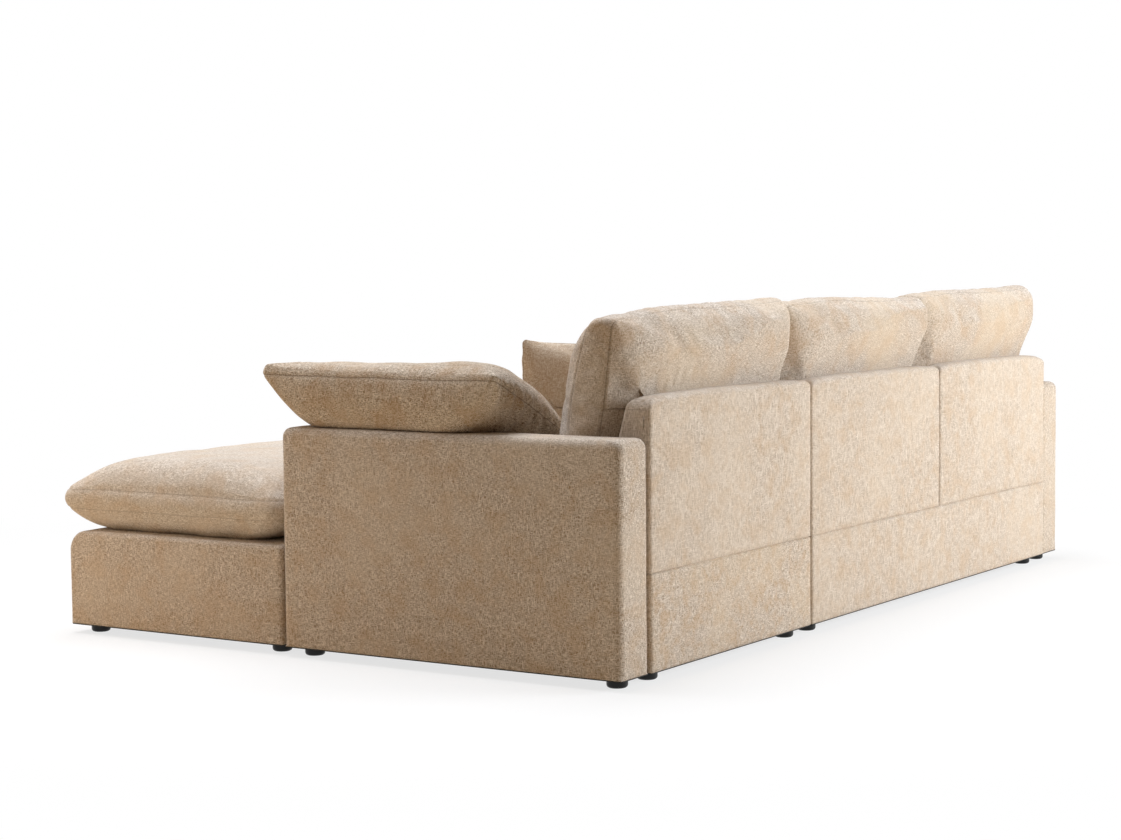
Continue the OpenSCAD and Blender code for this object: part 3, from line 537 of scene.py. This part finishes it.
backLook = {**coverLook, "softEdges": (2,), "softEdge": 26, "puff": 3.2, "topPuff": 1.5, "sidePuff": 0.7,
    "droop": 10, "droopReach": 60, "droopZone": 110}
backSlope = (backFoot - backTop) / (backHeight - backSeam)
for number, seatName in enumerate(("corner", "middle", "end")):
    high = innerHalf - number * seatWidth - moduleGap / 2
    fittedCover(seatName + "BackFabric", high - seatWidth + moduleGap, high,
        [(0, backSeam + 0.3, 4), (backFoot, backSeam + 0.3, 3), (backTop, backHeight, 24),
         (0, backHeight, 14)],
        (0, 1, 2, 3), {**backLook, "seed": 11 + 3 * number, "droopFar": (5, 5, 20)[number]}, "sofa",
        seatName + "_back_cover")

armLook = {**coverLook, "edge": 19, "step": 12, "puff": 1.6, "topPuff": 1.6, "sidePuff": 2.6, "groove": 0.2}
for side, sideName in ((1, "right"), (-1, "left")):
    inner, outer = sorted((side * innerHalf, side * (innerHalf + armWidth)))
    fittedCover(sideName + "ArmFabric", inner, outer,
        [(4, skirtHeight, 3), (seatDepth, skirtHeight, 3), (seatDepth, armHeight, 24),
         (4, armHeight, 24)],
        (0, 1, 2, 3), {**armLook, "seed": 21 + side}, "sofa", sideName + "_arm_cover", armFabric)
print("covers fitted")


def quarterTurns(count):
    turn = math.radians(90 * count)
    return np.array([math.cos(turn), math.sin(turn)])


def cushionLoop(a, b, radii, draw, cornerSteps, sideSteps):
    # Rectangle 2a by 2b with four round corners, its sides drawn in between them
    points = []
    centres = [np.array([(a - r) * (1 if k in (0, 3) else -1), (b - r) * (1 if k < 2 else -1)])
        for k, r in enumerate(radii)]
    for k in range(4):
        points += [centres[k] + radii[k] * quarterTurns(k + j / cornerSteps) for j in range(cornerSteps)]
        out = quarterTurns(k + 1)
        following = (k + 1) % 4
        start, end = centres[k] + radii[k] * out, centres[following] + radii[following] * out
        for j in range(sideSteps[k % 2]):
            t = j / sideSteps[k % 2]
            points.append(start + (end - start) * t - draw * 4 * t * (1 - t) * out)
    return np.array(points)


def crown(inset, reach, rise, power):
    return rise * (1 - (1 - min(inset / reach, 1)) ** power)


besideSeam, cornerGrowth = 3.5, 0.9  # rows keep each seam's groove narrow; corners widen with each ring


def sewnRings(look, place):
    # Rings from the middle of the lower panel, over the seams, to the middle of the upper one
    a, b, half = look["a"], look["b"], look["strip"] / 2
    shut = min(a, b)
    sides = [max(6, int(2 * (length - look["radius"]) / look["spacing"])) for length in (a, b)]
    insets = [besideSeam] + [shut * (k / look["rings"]) ** 1.12 for k in range(1, look["rings"] + 1)]
    second = look.get("secondSeam")
    if second:
        insets = [e for e in insets if abs(e - second) > 2 + besideSeam]
        insets += [second - besideSeam, second, second + besideSeam]
    insets = sorted(set(insets))
    levels = [(e, -half - crown(e, look["underReach"], look["under"], look["underPower"]))
        for e in reversed(insets)]
    seams = [len(levels)]
    stripSteps = max(2, int(look["strip"] / 9))
    for j in range(stripSteps + 1):
        v = 2 * j / stripSteps - 1
        levels.append((-look["bulge"] * (1 - v * v), v * half))
    seams.append(len(levels) - 1)
    for e in insets:
        levels.append((e, half + crown(e, look["overReach"], look["over"], look["overPower"])))
        if e == second:
            seams.append(len(levels) - 1)
    if second:
        seams.pop(1)  # the strip runs on over its upper edge to the second seam
    rings = []
    for e, height in levels:
        growth = (cornerGrowth, look.get("rearRound", cornerGrowth) if height < -half else cornerGrowth)
        radii = [max(0.0, min(look["radius"] + growth[k in (1, 2)] * e, shut - e - 0.5)) for k in range(4)]
        draw = look["draw"] * (1 - max(e, 0) / shut)
        flat = cushionLoop(a - e, b - e, radii, draw, look["cornerSteps"], sides)
        rings.append(place(np.column_stack([flat, np.full(len(flat), height)])))
    return np.array(rings), seams


def sewnCushion(name, look, place, keepClear, material, slot):
    rings, seams = sewnRings(look, place)
    seam, along = seamMarks(rings, seams)
    held = np.zeros(rings.shape[:2])
    held[seams] = 1
    piece = skinMesh(name, rings, {"seam": seam, "along": along, "held": held}, material, slot)
    if look.get("crossSeam"):
        crossSeam(piece.data, look["crossSeam"])
    if look.get("sim"):
        simulateFilling(piece, look)
    finishSkin(piece, look, keepClear)
    return piece


def crossSeam(mesh, height, rearFacing=0.35):
    # A level seam across the rear panel, with an edge loop on each side for its groove
    edit = bmesh.new()
    edit.from_mesh(mesh)
    edit.normal_update()
    seam = edit.verts.layers.float["seam"]
    for level in (height - besideSeam, height, height + besideSeam):
        rear = [f for f in edit.faces if f.normal.y > rearFacing]
        around = list({e for f in rear for e in f.edges}) + list({v for f in rear for v in f.verts})
        bmesh.ops.bisect_plane(edit, geom=rear + around, dist=0.0004, plane_co=(0, 0, level / 1000),
            plane_no=(0, 0, 1))
    edit.normal_update()
    for vertex in edit.verts:
        if vertex.normal.y > rearFacing:
            vertex[seam] = min(vertex[seam], abs(vertex.co.z * 1000 - height))
    edit.to_mesh(mesh)
    edit.free()


def simulateFilling(piece, look):
    # The filling presses on cloth cut a little large, so it swells between its seams and puckers beside them
    sim = look["sim"]
    mesh = piece.data
    rest, held, facing = pointsOf(mesh), valuesOf(mesh, "held"), fetch(mesh.vertices, "normal", 3)
    group = piece.vertex_groups.new(name="held")
    group.add([int(i) for i in np.nonzero(held > 0.5)[0]], sim["hold"], "REPLACE")
    cloth = piece.modifiers.new("filling", "CLOTH")
    stiffness, shrink = sim["stiffness"], -sim["spare"]
    settings = {
        "quality": 4, "mass": 0.25, "tension_stiffness": stiffness, "compression_stiffness": stiffness,
        "shear_stiffness": stiffness / 3, "bending_stiffness": sim["bending"], "tension_damping": 10,
        "compression_damping": 10, "shear_damping": 10, "bending_damping": 1.0, "air_damping": 3,
        "use_pressure": True, "uniform_pressure_force": sim["pressure"], "shrink_min": shrink,
        "shrink_max": shrink, "vertex_group_mass": "held", "pin_stiffness": 1.0,
    }
    for key, value in settings.items():
        setattr(cloth.settings, key, value)
    cloth.settings.effector_weights.gravity = 0
    cloth.collision_settings.use_collision = False
    cloth.collision_settings.use_self_collision = False
    cloth.point_cache.frame_start, cloth.point_cache.frame_end = 1, sim["frames"]
    for number in range(1, sim["frames"] + 1):
        scene.frame_set(number)
    moved = pointsOf(evaluated(piece).data)
    piece.modifiers.remove(cloth)
    scene.frame_set(1)
    shift = moved - rest
    inward = np.minimum(np.sum(shift * facing, axis=1) + sim["inward"], 0)
    shift -= inward[:, None] * facing
    far = norm(shift, axis=1)
    shift *= (np.minimum(far, sim["cap"]) / np.maximum(far, 1e-6))[:, None]
    storePoints(mesh, rest + shift)
    print(piece.name, "filled:", round(far.max(), 1), "mm at most")


def gatheredFolds(points, normals, seam, gather):
    # Fine folds that run down from the rear end's lower seam, where the cloth is gathered into it
    below = portion(normals[:, 1] * 1.6) * portion(0.7 - 1.4 * normals[:, 2])
    drift = gather["drift"] * ripple(points, gather["driftSize"], 4)
    folds = np.cos(2 * math.pi * points[:, 0] / gather["pitch"] + drift)
    return gather["height"] * below * folds * portion(seam, 8) * np.exp(-seam / gather["reach"])


def rearPuckers(points, normals, seam, pucker):
    # Short upright folds in clusters, on the rear panel where it meets the back and under the top rear seam
    rear = portion(normals[:, 1] * 2 - 0.4)
    clusters = portion(0.25 + ripple(points, pucker["clusterSize"], 3))
    drift = pucker["drift"] * ripple(points, pucker["driftSize"], 8)
    folds = np.cos(2 * math.pi * points[:, 0] / pucker["pitch"] + drift)
    low = np.exp(-np.abs(points[:, 2] - pucker["level"]) / pucker["reach"])
    high = np.exp(-seam / (1.4 * pucker["reach"])) * portion(points[:, 2] - pucker["highFrom"], 50)
    return pucker["height"] * rear * clusters * folds * np.maximum(low, pucker["highShare"] * high)


skinLook = {"seamWidth": 3.0, "waveSize": 210, "fineWaveSize": 80, "calmReach": 40, "wobbleSize": 190}


def finishSkin(piece, look, keepClear):
    # On a finer mesh, seams sink in, the cloth gets its unevenness, and what rests on a neighbour goes flat
    smooth = piece.modifiers.new("smooth", "SUBSURF")
    smooth.levels = smooth.render_levels = 1
    mesh = bpy.data.meshes.new_from_object(evaluated(piece))
    piece.modifiers.remove(smooth)
    piece.data = mesh
    points, normals = pointsOf(mesh), fetch(mesh.vertices, "normal", 3)
    seam = valuesOf(mesh, "seam")
    sink = look["groove"] * np.exp(-(seam / skinLook["seamWidth"]) ** 2)
    waves = look["wave"] * (ripple(points, skinLook["waveSize"], look["seed"])
        + 0.5 * ripple(points, skinLook["fineWaveSize"], look["seed"] + 2))
    lift = waves * np.clip(seam / skinLook["calmReach"], 0.15, 1) - sink
    if look.get("gather"):
        lift += gatheredFolds(points, normals, seam, look["gather"])
    if look.get("puckers"):
        lift += rearPuckers(points, normals, seam, look["puckers"])
    wobble = np.column_stack([ripple(points, skinLook["wobbleSize"], look["seed"] + k) for k in (5, 6, 7)])
    points = points + normals * lift[:, None] + look["wobble"] * wobble
    storePoints(mesh, keepClear(points))


def copyPiece(source, name, mirror=False, across=0, change=None):
    # Another piece from the same mesh, mirrored in X if wanted, then moved along X in millimetres
    mesh = source.data.copy()
    piece = addObject(name, mesh)
    points = pointsOf(mesh)
    if mirror:
        points[:, 0] *= -1
        mesh.flip_normals()
    points[:, 0] += across
    storePoints(mesh, change(points) if change else points)
    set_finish(piece, source["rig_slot"])
    return piece


def settle(piece, node, body=None):
    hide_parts(node)
    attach(piece, body or node)


coverCloth = {"pressure": 2.0, "spare": 0.012, "stiffness": 12, "bending": 0.8, "hold": 1.0, "frames": 20,
    "cap": 10, "inward": 3}
deckGap = 2.2  # a cushion's skin lies this far above the deck's cover

# Seat cushions: boxed, crowned, pressed down where a back cushion stands
seatLook = {
    "a": 401, "b": 404, "radius": 45, "strip": 52, "bulge": 6, "draw": 9, "over": 92, "overReach": 371,
    "overPower": 4, "under": 57, "underReach": 180, "underPower": 4.2, "spacing": 17, "rings": 26,
    "cornerSteps": 6, "groove": 2.0, "wave": 1.3, "wobble": 1.4, "seed": 3, "sim": coverCloth,
}
pressFrom, pressSlope = 290, 0.35
seatRearD, seatFrontD = 168, 988


def seatPlace(xm):
    def place(p):
        y = rearY - (seatRearD + seatFrontD) / 2 + p[:, 1]
        return np.column_stack([xm + p[:, 0], y, seatSeam + p[:, 2]])
    return place


def seatClear(points):
    d = rearY - points[:, 1]
    lid = np.minimum(bearingHeight - 0.5 + pressSlope * np.maximum(0, d - pressFrom), seatTop + 6)
    points[:, 2] = np.clip(points[:, 2], deckHeight + deckGap, lid)
    points[:, 1] = np.clip(points[:, 1], rearY - seatFrontD - 2, rearY - seatRearD + 1)
    return points


seatX = innerHalf - seatWidth / 2
cornerSeat = sewnCushion("cornerSeatCushion", seatLook, seatPlace(seatX), seatClear, seatFabricPaintedLight, "seat")
settle(cornerSeat, "corner_seat_cushion", "corner_seat")
for seat, mirror, across in (("middle", True, seatX), ("end", False, -2 * seatWidth)):
    copied = copyPiece(cornerSeat, seat + "SeatCushion", mirror, across)
    settle(copied, seat + "_seat_cushion", seat + "_seat")
print("seat cushions sewn")

# Ottoman cushion: the same make, wider, with nothing pressing on it
ottomanLook = {
    **seatLook, "a": 461.5, "b": 365, "over": 81, "overReach": 335, "sideReach": (175, 255),
    "endReach": (270, 335), "risePower": 4.4, "rightPower": 0.85, "rearFall": 0.09, "rearReach": 300,
    "sideSag": 20, "sagWidth": 80, "sagEnds": (260, 150), "seed": 6,
    "sim": {**coverCloth, "pressure": 1.0, "spare": 0.004, "cap": 6},
}
ottomanX, ottomanD = (ottomanLow + ottomanHigh) / 2, (998 + 1754) / 2


def ottomanPlace(p):
    # The top rises steeply along both sides, gently at the front, and the bottom sags at the deck's edge.
    # Pairs of sizes: right and left side, or rear and front end
    look, half = ottomanLook, ottomanLook["strip"] / 2
    across, deep = look["a"] - np.abs(p[:, 0]), look["b"] - np.abs(p[:, 1])
    right, rear = p[:, 0] > 0, p[:, 1] > 0
    acrossRise = 1 - portion(1 - across / np.where(right, *look["sideReach"])) ** look["risePower"]
    deepRise = 1 - portion(1 - deep / np.where(rear, *look["endReach"])) ** look["risePower"]
    rise = acrossRise ** np.where(right, look["rightPower"], 1) * deepRise
    fall = look["rearFall"] * portion(p[:, 1], look["rearReach"]) ** 2
    top = half + look["over"] * rise * (1 - fall)
    sag = look["sideSag"] * np.exp(-(across / look["sagWidth"]) ** 2)
    sag *= portion(deep, np.where(rear, *look["sagEnds"])) * portion(-p[:, 2] - half, 14)
    z = np.where(p[:, 2] > half + 0.5, top, p[:, 2] - sag)
    return np.column_stack([ottomanX + p[:, 0], rearY - ottomanD + p[:, 1], seatSeam + z])


def ottomanClear(points):
    points[:, 2] = np.clip(points[:, 2], deckHeight + deckGap, seatTop + 8)
    points[:, 1] = np.minimum(points[:, 1], rearY - 997)
    return points


settle(sewnCushion("ottomanSeatCushion", ottomanLook, ottomanPlace, ottomanClear, seatFabricPaintedLight, "seat"),
    "ottoman_cushion")
print("ottoman cushion sewn")

# Back cushions: boxed, leaning on their backs and rolling over them
backCushionLook = {
    "a": 401, "b": 204, "radius": 22, "strip": 92, "bulge": 6, "draw": 9, "over": 60, "overReach": 165,
    "overPower": 3.8, "under": 56, "underReach": 165, "underPower": 5, "spacing": 10, "rings": 22,
    "cornerSteps": 5, "groove": 2.2, "wave": 2.2, "wobble": 1.6, "seed": 4, "crossSeam": 629, "tall": 420,
    "middleD": 204, "lean": 0.12, "rollBack": 36, "taper": 0.35, "frontGap": 3.4, "rollD": 67,
    "rollSlope": 0.35, "rollLeast": 30, "nearFrom": 60, "nearRun": 340, "nearFront": 15, "nearDrop": 28,
    "nearRear": 0.72, "farRun": 600, "farLift": 5, "farRear": 0.55, "farSeam": 12,
    "puckers": {"height": 4.6, "pitch": 43, "reach": 33, "level": backHeight + 4, "clusterSize": 420,
                "drift": 2.2, "driftSize": 300, "highFrom": 770, "highShare": 0.25},
    "sim": {**coverCloth, "spare": 0.011},
}


def backPlace(xm):
    # Near and far are the cushion's ends towards the ottoman's side and away from it
    look, half = backCushionLook, backCushionLook["strip"] / 2

    def place(p):
        z = bearingHeight + look["b"] + p[:, 1]
        f = portion(z - bearingHeight, look["tall"])
        taper = 1 - look["taper"] * f ** 4
        far = portion(look["a"] - p[:, 0], look["farRun"])
        near = portion(p[:, 0] - look["nearFrom"], look["nearRun"])
        beyond = np.abs(p[:, 2]) - half
        beyond = np.where(p[:, 2] < 0, beyond * (look["nearRear"] + look["farRear"] * far), beyond)
        off = np.where(beyond <= 0, p[:, 2] * taper, np.sign(p[:, 2]) * (beyond + half * taper))
        off = off - look["farSeam"] * far ** 2 * portion(-p[:, 2], half)
        d = look["middleD"] - look["lean"] * (z - bearingHeight) - look["rollBack"] * f ** 3
        d = d + look["nearFront"] * (near * f) ** 2 + off
        z = z + f ** 2 * (look["farLift"] * (1 - near) - look["nearDrop"] * near ** 1.6)
        return np.column_stack([xm + p[:, 0], rearY - d, z])
    return place


def backClear(points):
    # It keeps clear of the back's sloping front and, above that, rolls over the back's top
    look = backCushionLook
    z = np.maximum(points[:, 2], bearingHeight + 1)
    d = rearY - points[:, 1]
    front = backFoot - backSlope * (z - backSeam) + look["frontGap"]
    roll = look["rollD"] - look["rollSlope"] * (z - backHeight - 4)
    wall = np.minimum(front, np.maximum(roll, look["rollLeast"]))
    points[:, 1], points[:, 2] = rearY - np.maximum(d, wall), z
    return points


slumpLook = {"leanFrom": 575, "leanOver": 185, "liftFrom": 600, "liftOver": 250, "rearD": 200, "rearOver": 80,
    "lowFrom": 560, "highFrom": backHeight + 4, "pushOver": 90}


def slump(middleX, lean, lift, push=(0, 0)):
    # A cushion's top leans towards the next one and its rear panel swells backwards; pairs: near and far end
    look, half = slumpLook, backCushionLook["a"]

    def change(points):
        share = portion(middleX + half - points[:, 0], 2 * half)
        t = portion(points[:, 2] - look["leanFrom"], look["leanOver"])
        points[:, 0] -= (lean[0] + (lean[1] - lean[0]) * share) * t * t * (3 - 2 * t)
        rise = portion(points[:, 2] - look["liftFrom"], look["liftOver"]) ** 2
        points[:, 2] += rise * (lift[0] * (1 - share) ** 2 + lift[1] * share ** 2)
        behind = portion(look["rearD"] - rearY + points[:, 1], look["rearOver"])
        low, high = (portion(points[:, 2] - look[key], look["pushOver"]) for key in ("lowFrom", "highFrom"))
        points[:, 1] += behind * (push[0] * low * (1 - share) ** 2 + push[1] * high * share ** 2)
        return backClear(points)
    return change


cornerBack = sewnCushion("cornerBackCushion", backCushionLook, backPlace(seatX), backClear, pillowFabric,
    "pillow")
storePoints(cornerBack.data, slump(seatX, (0, 12), (0, 0))(pointsOf(cornerBack.data)))
settle(cornerBack, "corner_back_cushion", "corner_back")
backSlumps = {
    "middle": (-seatWidth, slump(0, (0, 8), (16, -15), (24, 18))),
    "end": (-2 * seatWidth, slump(-seatX, (8, 14), (23, 7), (28, 14))),
}
for seat, (across, slumped) in backSlumps.items():
    copied = copyPiece(cornerBack, seat + "BackCushion", False, across, slumped)
    settle(copied, seat + "_back_cushion", seat + "_back")
print("back cushions sewn")

# Arm pillows: one skin bent over the arm's inner edge
armPillowLook = {
    "a": 350, "b": 186, "radius": 14, "strip": 14, "bulge": 1, "draw": 7, "over": 66, "overReach": 172,
    "overPower": 2.0, "under": 150, "underReach": 172, "underPower": 4, "spacing": 9, "rings": 19,
    "cornerSteps": 8, "groove": 1.8, "wave": 1.1, "wobble": 1.2, "seed": 7, "secondSeam": 46,
    "rearRound": 2.4, "blunt": 17, "bluntEdge": 5, "bluntReach": 60, "tail": 42, "tailEdge": 32, "tailReach": 170,
    "tailShift": 3, "shiftReach": 40, "lift": 5, "tailDrop": 2, "dropReach": 400, "archPower": 1.2,
    "tilt": math.radians(20), "droop": math.radians(12), "seamRise": 132, "innerThin": 0.55,
    "frontThin": 0.25, "toMiddle": 358, "undercut": 0.5, "armGap": 2.6, "edgeIn": 10, "hangSlope": 0.5,
    "gather": {"height": 6.5, "pitch": 34, "reach": 62, "drift": 1.8, "driftSize": 160},
    "sim": {**coverCloth, "spare": 0.004},
}
pillowHigh = innerHalf + armWidth - 2
pillowRearD = 336


def armPillowPlace(p):
    # Both ends of the upper panel are blunt, the front one more so; s runs from the outer to the inner edge
    look = armPillowLook
    width, s = 2 * look["b"], look["b"] - p[:, 1]
    nose, tail = look["a"] - p[:, 0], look["a"] + p[:, 0]
    upper = p[:, 2] > look["strip"] / 2 - 0.1
    arch = np.sin(math.pi * portion(s, width) ** look["archPower"]) * upper
    blunt = look["blunt"] * (1 - np.exp(-nose / look["bluntEdge"])) * np.exp(-nose / look["bluntReach"])
    blunt = blunt * upper
    blunt += look["tail"] * arch * (1 - np.exp(-tail / look["tailEdge"])) * np.exp(-tail / look["tailReach"])
    raised = p[:, 2] + (look["lift"] - look["tailDrop"] * portion(1 - tail / look["dropReach"]) + blunt)
    along = p[:, 0] - look["tailShift"] * arch * np.exp(-tail / look["shiftReach"])
    front = portion(along, look["toMiddle"])
    thin = 1 - look["innerThin"] * s / width - look["frontThin"] * front ** 3
    w = np.where(raised > 0, raised, raised * thin)
    tilt, bend = look["tilt"], look["droop"] / width
    slope = tilt + bend * s
    run, fall = (np.sin(slope) - math.sin(tilt)) / bend, (math.cos(tilt) - np.cos(slope)) / bend
    x = pillowHigh - run - w * np.sin(slope)
    z = armHeight + look["seamRise"] - fall + w * np.cos(slope)
    d = pillowRearD + look["toMiddle"] + along + look["undercut"] * np.minimum(w, 0) * front ** 2
    return np.column_stack([x, rearY - d, z])


def armPillowClear(points):
    # It lies on the arm, and past the arm's inner edge it hangs no lower than a slope down to the seat
    edgeX, floorZ = innerHalf - armPillowLook["edgeIn"], armHeight + armPillowLook["armGap"]
    hang = np.maximum(floorZ - armPillowLook["hangSlope"] * (edgeX - points[:, 0]), seatTop + 2)
    points[:, 2] = np.maximum(points[:, 2], np.where(points[:, 0] > edgeX, floorZ, hang))
    points[:, 1] = np.minimum(points[:, 1], rearY - pillowRearD + 18)
    return points


rightPillow = sewnCushion("rightArmPillow", armPillowLook, armPillowPlace, armPillowClear,
    armPillowFabricPaintedShade, "pillow")
settle(rightPillow, "right_arm_pillow")
settle(copyPiece(rightPillow, "leftArmPillow", True), "left_arm_pillow")
print("arm pillows sewn")

# Throw pillow: knife-edged, its corners standing out as ears
throwLook = {
    "a": 225, "b": 165, "radius": 12, "strip": 4, "bulge": 1, "draw": 18, "over": 58, "overReach": 151,
    "overPower": 2.2, "under": 58, "underReach": 151, "underPower": 2.2, "spacing": 11, "rings": 16,
    "cornerSteps": 4, "groove": 2.0, "wave": 1.4, "wobble": 1.2, "seed": 9, "sim": coverCloth,
}
throwX, throwD, throwLean, throwTurn = innerHalf - 455, 306 + 144, math.radians(12), math.radians(22)
throwZ = seatTop + (throwLook["b"] - throwLook["draw"]) * math.cos(throwLean)


def throwPlace(p):
    back = p[:, 1] * math.sin(throwLean) - p[:, 2] * math.cos(throwLean)
    up = p[:, 1] * math.cos(throwLean) + p[:, 2] * math.sin(throwLean)
    return np.column_stack([throwX + p[:, 0] * math.cos(throwTurn) + back * math.sin(throwTurn),
        rearY - throwD - p[:, 0] * math.sin(throwTurn) + back * math.cos(throwTurn),
        throwZ + up])


def throwClear(points):
    points[:, 2] = np.maximum(points[:, 2], seatTop + 2)
    return points


settle(sewnCushion("throwPillow", throwLook, throwPlace, throwClear, throwFabricPaintedLight, "pillow"),
    "throw_pillow")
print("throw pillow sewn")


stageLook = {"floor": "#E4D2B8", "shadowShare": 0.26, "nearFade": 1.6, "farFade": 3.0, "floorSize": 60,
    "fill": "#FFCF96", "fillLevel": 0.07, "white": "#FFFFFF"}
floorMesh = bpy.data.meshes.new("floor")
half = stageLook["floorSize"] / 2
floorMesh.from_pydata([(-half, -half, 0), (half, -half, 0), (half, half, 0), (-half, half, 0)], [],
    [(0, 1, 2, 3)])
floor = addObject("floor", floorMesh)


def seenPlainly(tree):
    # 1 for the rays that show the studio itself: straight to the camera, mirrored or through glass
    rays = addNode(tree, "LightPath").node.outputs
    mirrored = addNode(tree, "Math", {0: rays["Is Glossy Ray"], 1: rays["Is Transmission Ray"]},
        operation="MAXIMUM")
    return addNode(tree, "Math", {0: rays["Is Camera Ray"], 1: mirrored}, operation="MAXIMUM")


# Painted studio floor, rolled: matt and pale; the camera sees it as white, apart from the object's shadow
floorPaint, tree, shader = newMaterial("mattFloorPaint", Roughness=0.95)
seen = seenPlainly(tree)
paint = addNode(tree, "Mix", {0: seen, 6: linear(stageLook["floor"]), 7: linear(stageLook["white"])}, 2,
    data_type="RGBA")
tree.links.new(paint, shader.inputs["Base Color"])
place = addNode(tree, "TexCoord", output="Object")
away = addNode(tree, "VectorMath", {0: place}, "Value", operation="LENGTH")
lit = addNode(tree, "MapRange", {0: away, 1: stageLook["farFade"], 2: stageLook["nearFade"], 3: 1.0,
    4: 1 - stageLook["shadowShare"]}, **eased)
share = addNode(tree, "Math", {0: seen, 1: lit}, operation="MULTIPLY")
glow = addNode(tree, "Emission", {"Color": linear(stageLook["white"]), "Strength": 1.0})
mixed = addNode(tree, "MixShader", {0: share, 1: shader.outputs[0], 2: glow})
tree.links.new(mixed, tree.nodes["Material Output"].inputs["Surface"])
floorMesh.materials.append(floorPaint)

# The world is white to the camera and a warm fill to everything else
world = bpy.data.worlds.new("studio")
scene.world = world
world.use_nodes = True
tree = world.node_tree
tree.nodes.clear()
fill = addNode(tree, "Background", {"Color": linear(stageLook["fill"]), "Strength": stageLook["fillLevel"]})
white = addNode(tree, "Background", {"Color": linear(stageLook["white"]), "Strength": 1.0})
mixed = addNode(tree, "MixShader", {0: seenPlainly(tree), 1: fill, 2: white})
tree.links.new(mixed, tree.nodes.new("ShaderNodeOutputWorld").inputs["Surface"])

# Softboxes: two large cool ones behind and above the sofa, and a small warm one beside the right arm
lampLook = {
    "keyBox": {"place": (-2.4, 5.3, 2.0), "target": (-0.2, 0.6, 0.2), "size": (3.2, 2.2), "watts": 322,
               "colour": "#F5FAFF"},
    "topBox": {"place": (0.4, -0.9, 4.6), "target": (0.4, -0.4, 0.4), "size": (4.5, 3.2), "watts": 282,
               "colour": "#F6F9FF"},
    "sideBox": {"place": (2.3, -1.5, 1.0), "target": (1.3, -0.5, 0.4), "size": (1.2, 1.0), "watts": 8.6,
                "colour": "#FFE6CA"},
}
for name, look in lampLook.items():
    lamp = bpy.data.lights.new(name, "AREA")
    lamp.shape, (lamp.size, lamp.size_y) = "RECTANGLE", look["size"]
    lamp.energy, lamp.color = look["watts"], linear(look["colour"])[:3]
    box = addObject(name, lamp)
    box.location = look["place"]
    box.rotation_mode = "QUATERNION"
    box.rotation_quaternion = (Vector(look["target"]) - Vector(look["place"])).to_track_quat("-Z", "Y")

# The camera is solved from the photograph, which is 1121 by 840 pixels
cameraLook = {"place": (5.768, 3.556, 0.982), "forward": (-0.8388, -0.5399, -0.0701), "roll": -0.0091,
    "sensor": 36, "lens": 74.46}
forward = Vector(cameraLook["forward"]).normalized()
right = forward.cross(Vector((0, 0, 1))).normalized()
up = right.cross(forward)
turn = cameraLook["roll"]
rightTurned = right * math.cos(turn) + up * math.sin(turn)
upTurned = up * math.cos(turn) - right * math.sin(turn)
camera = addObject("camera", bpy.data.cameras.new("camera"))
camera.data.sensor_width, camera.data.lens = cameraLook["sensor"], cameraLook["lens"]
camera.data.clip_start, camera.data.clip_end = 0.05, 100
axes = Matrix((rightTurned, upTurned, -forward)).transposed().to_4x4()
camera.matrix_world = Matrix.Translation(cameraLook["place"]) @ axes
scene.camera = camera
scene.view_settings.view_transform = "Standard"

print("scene ready")
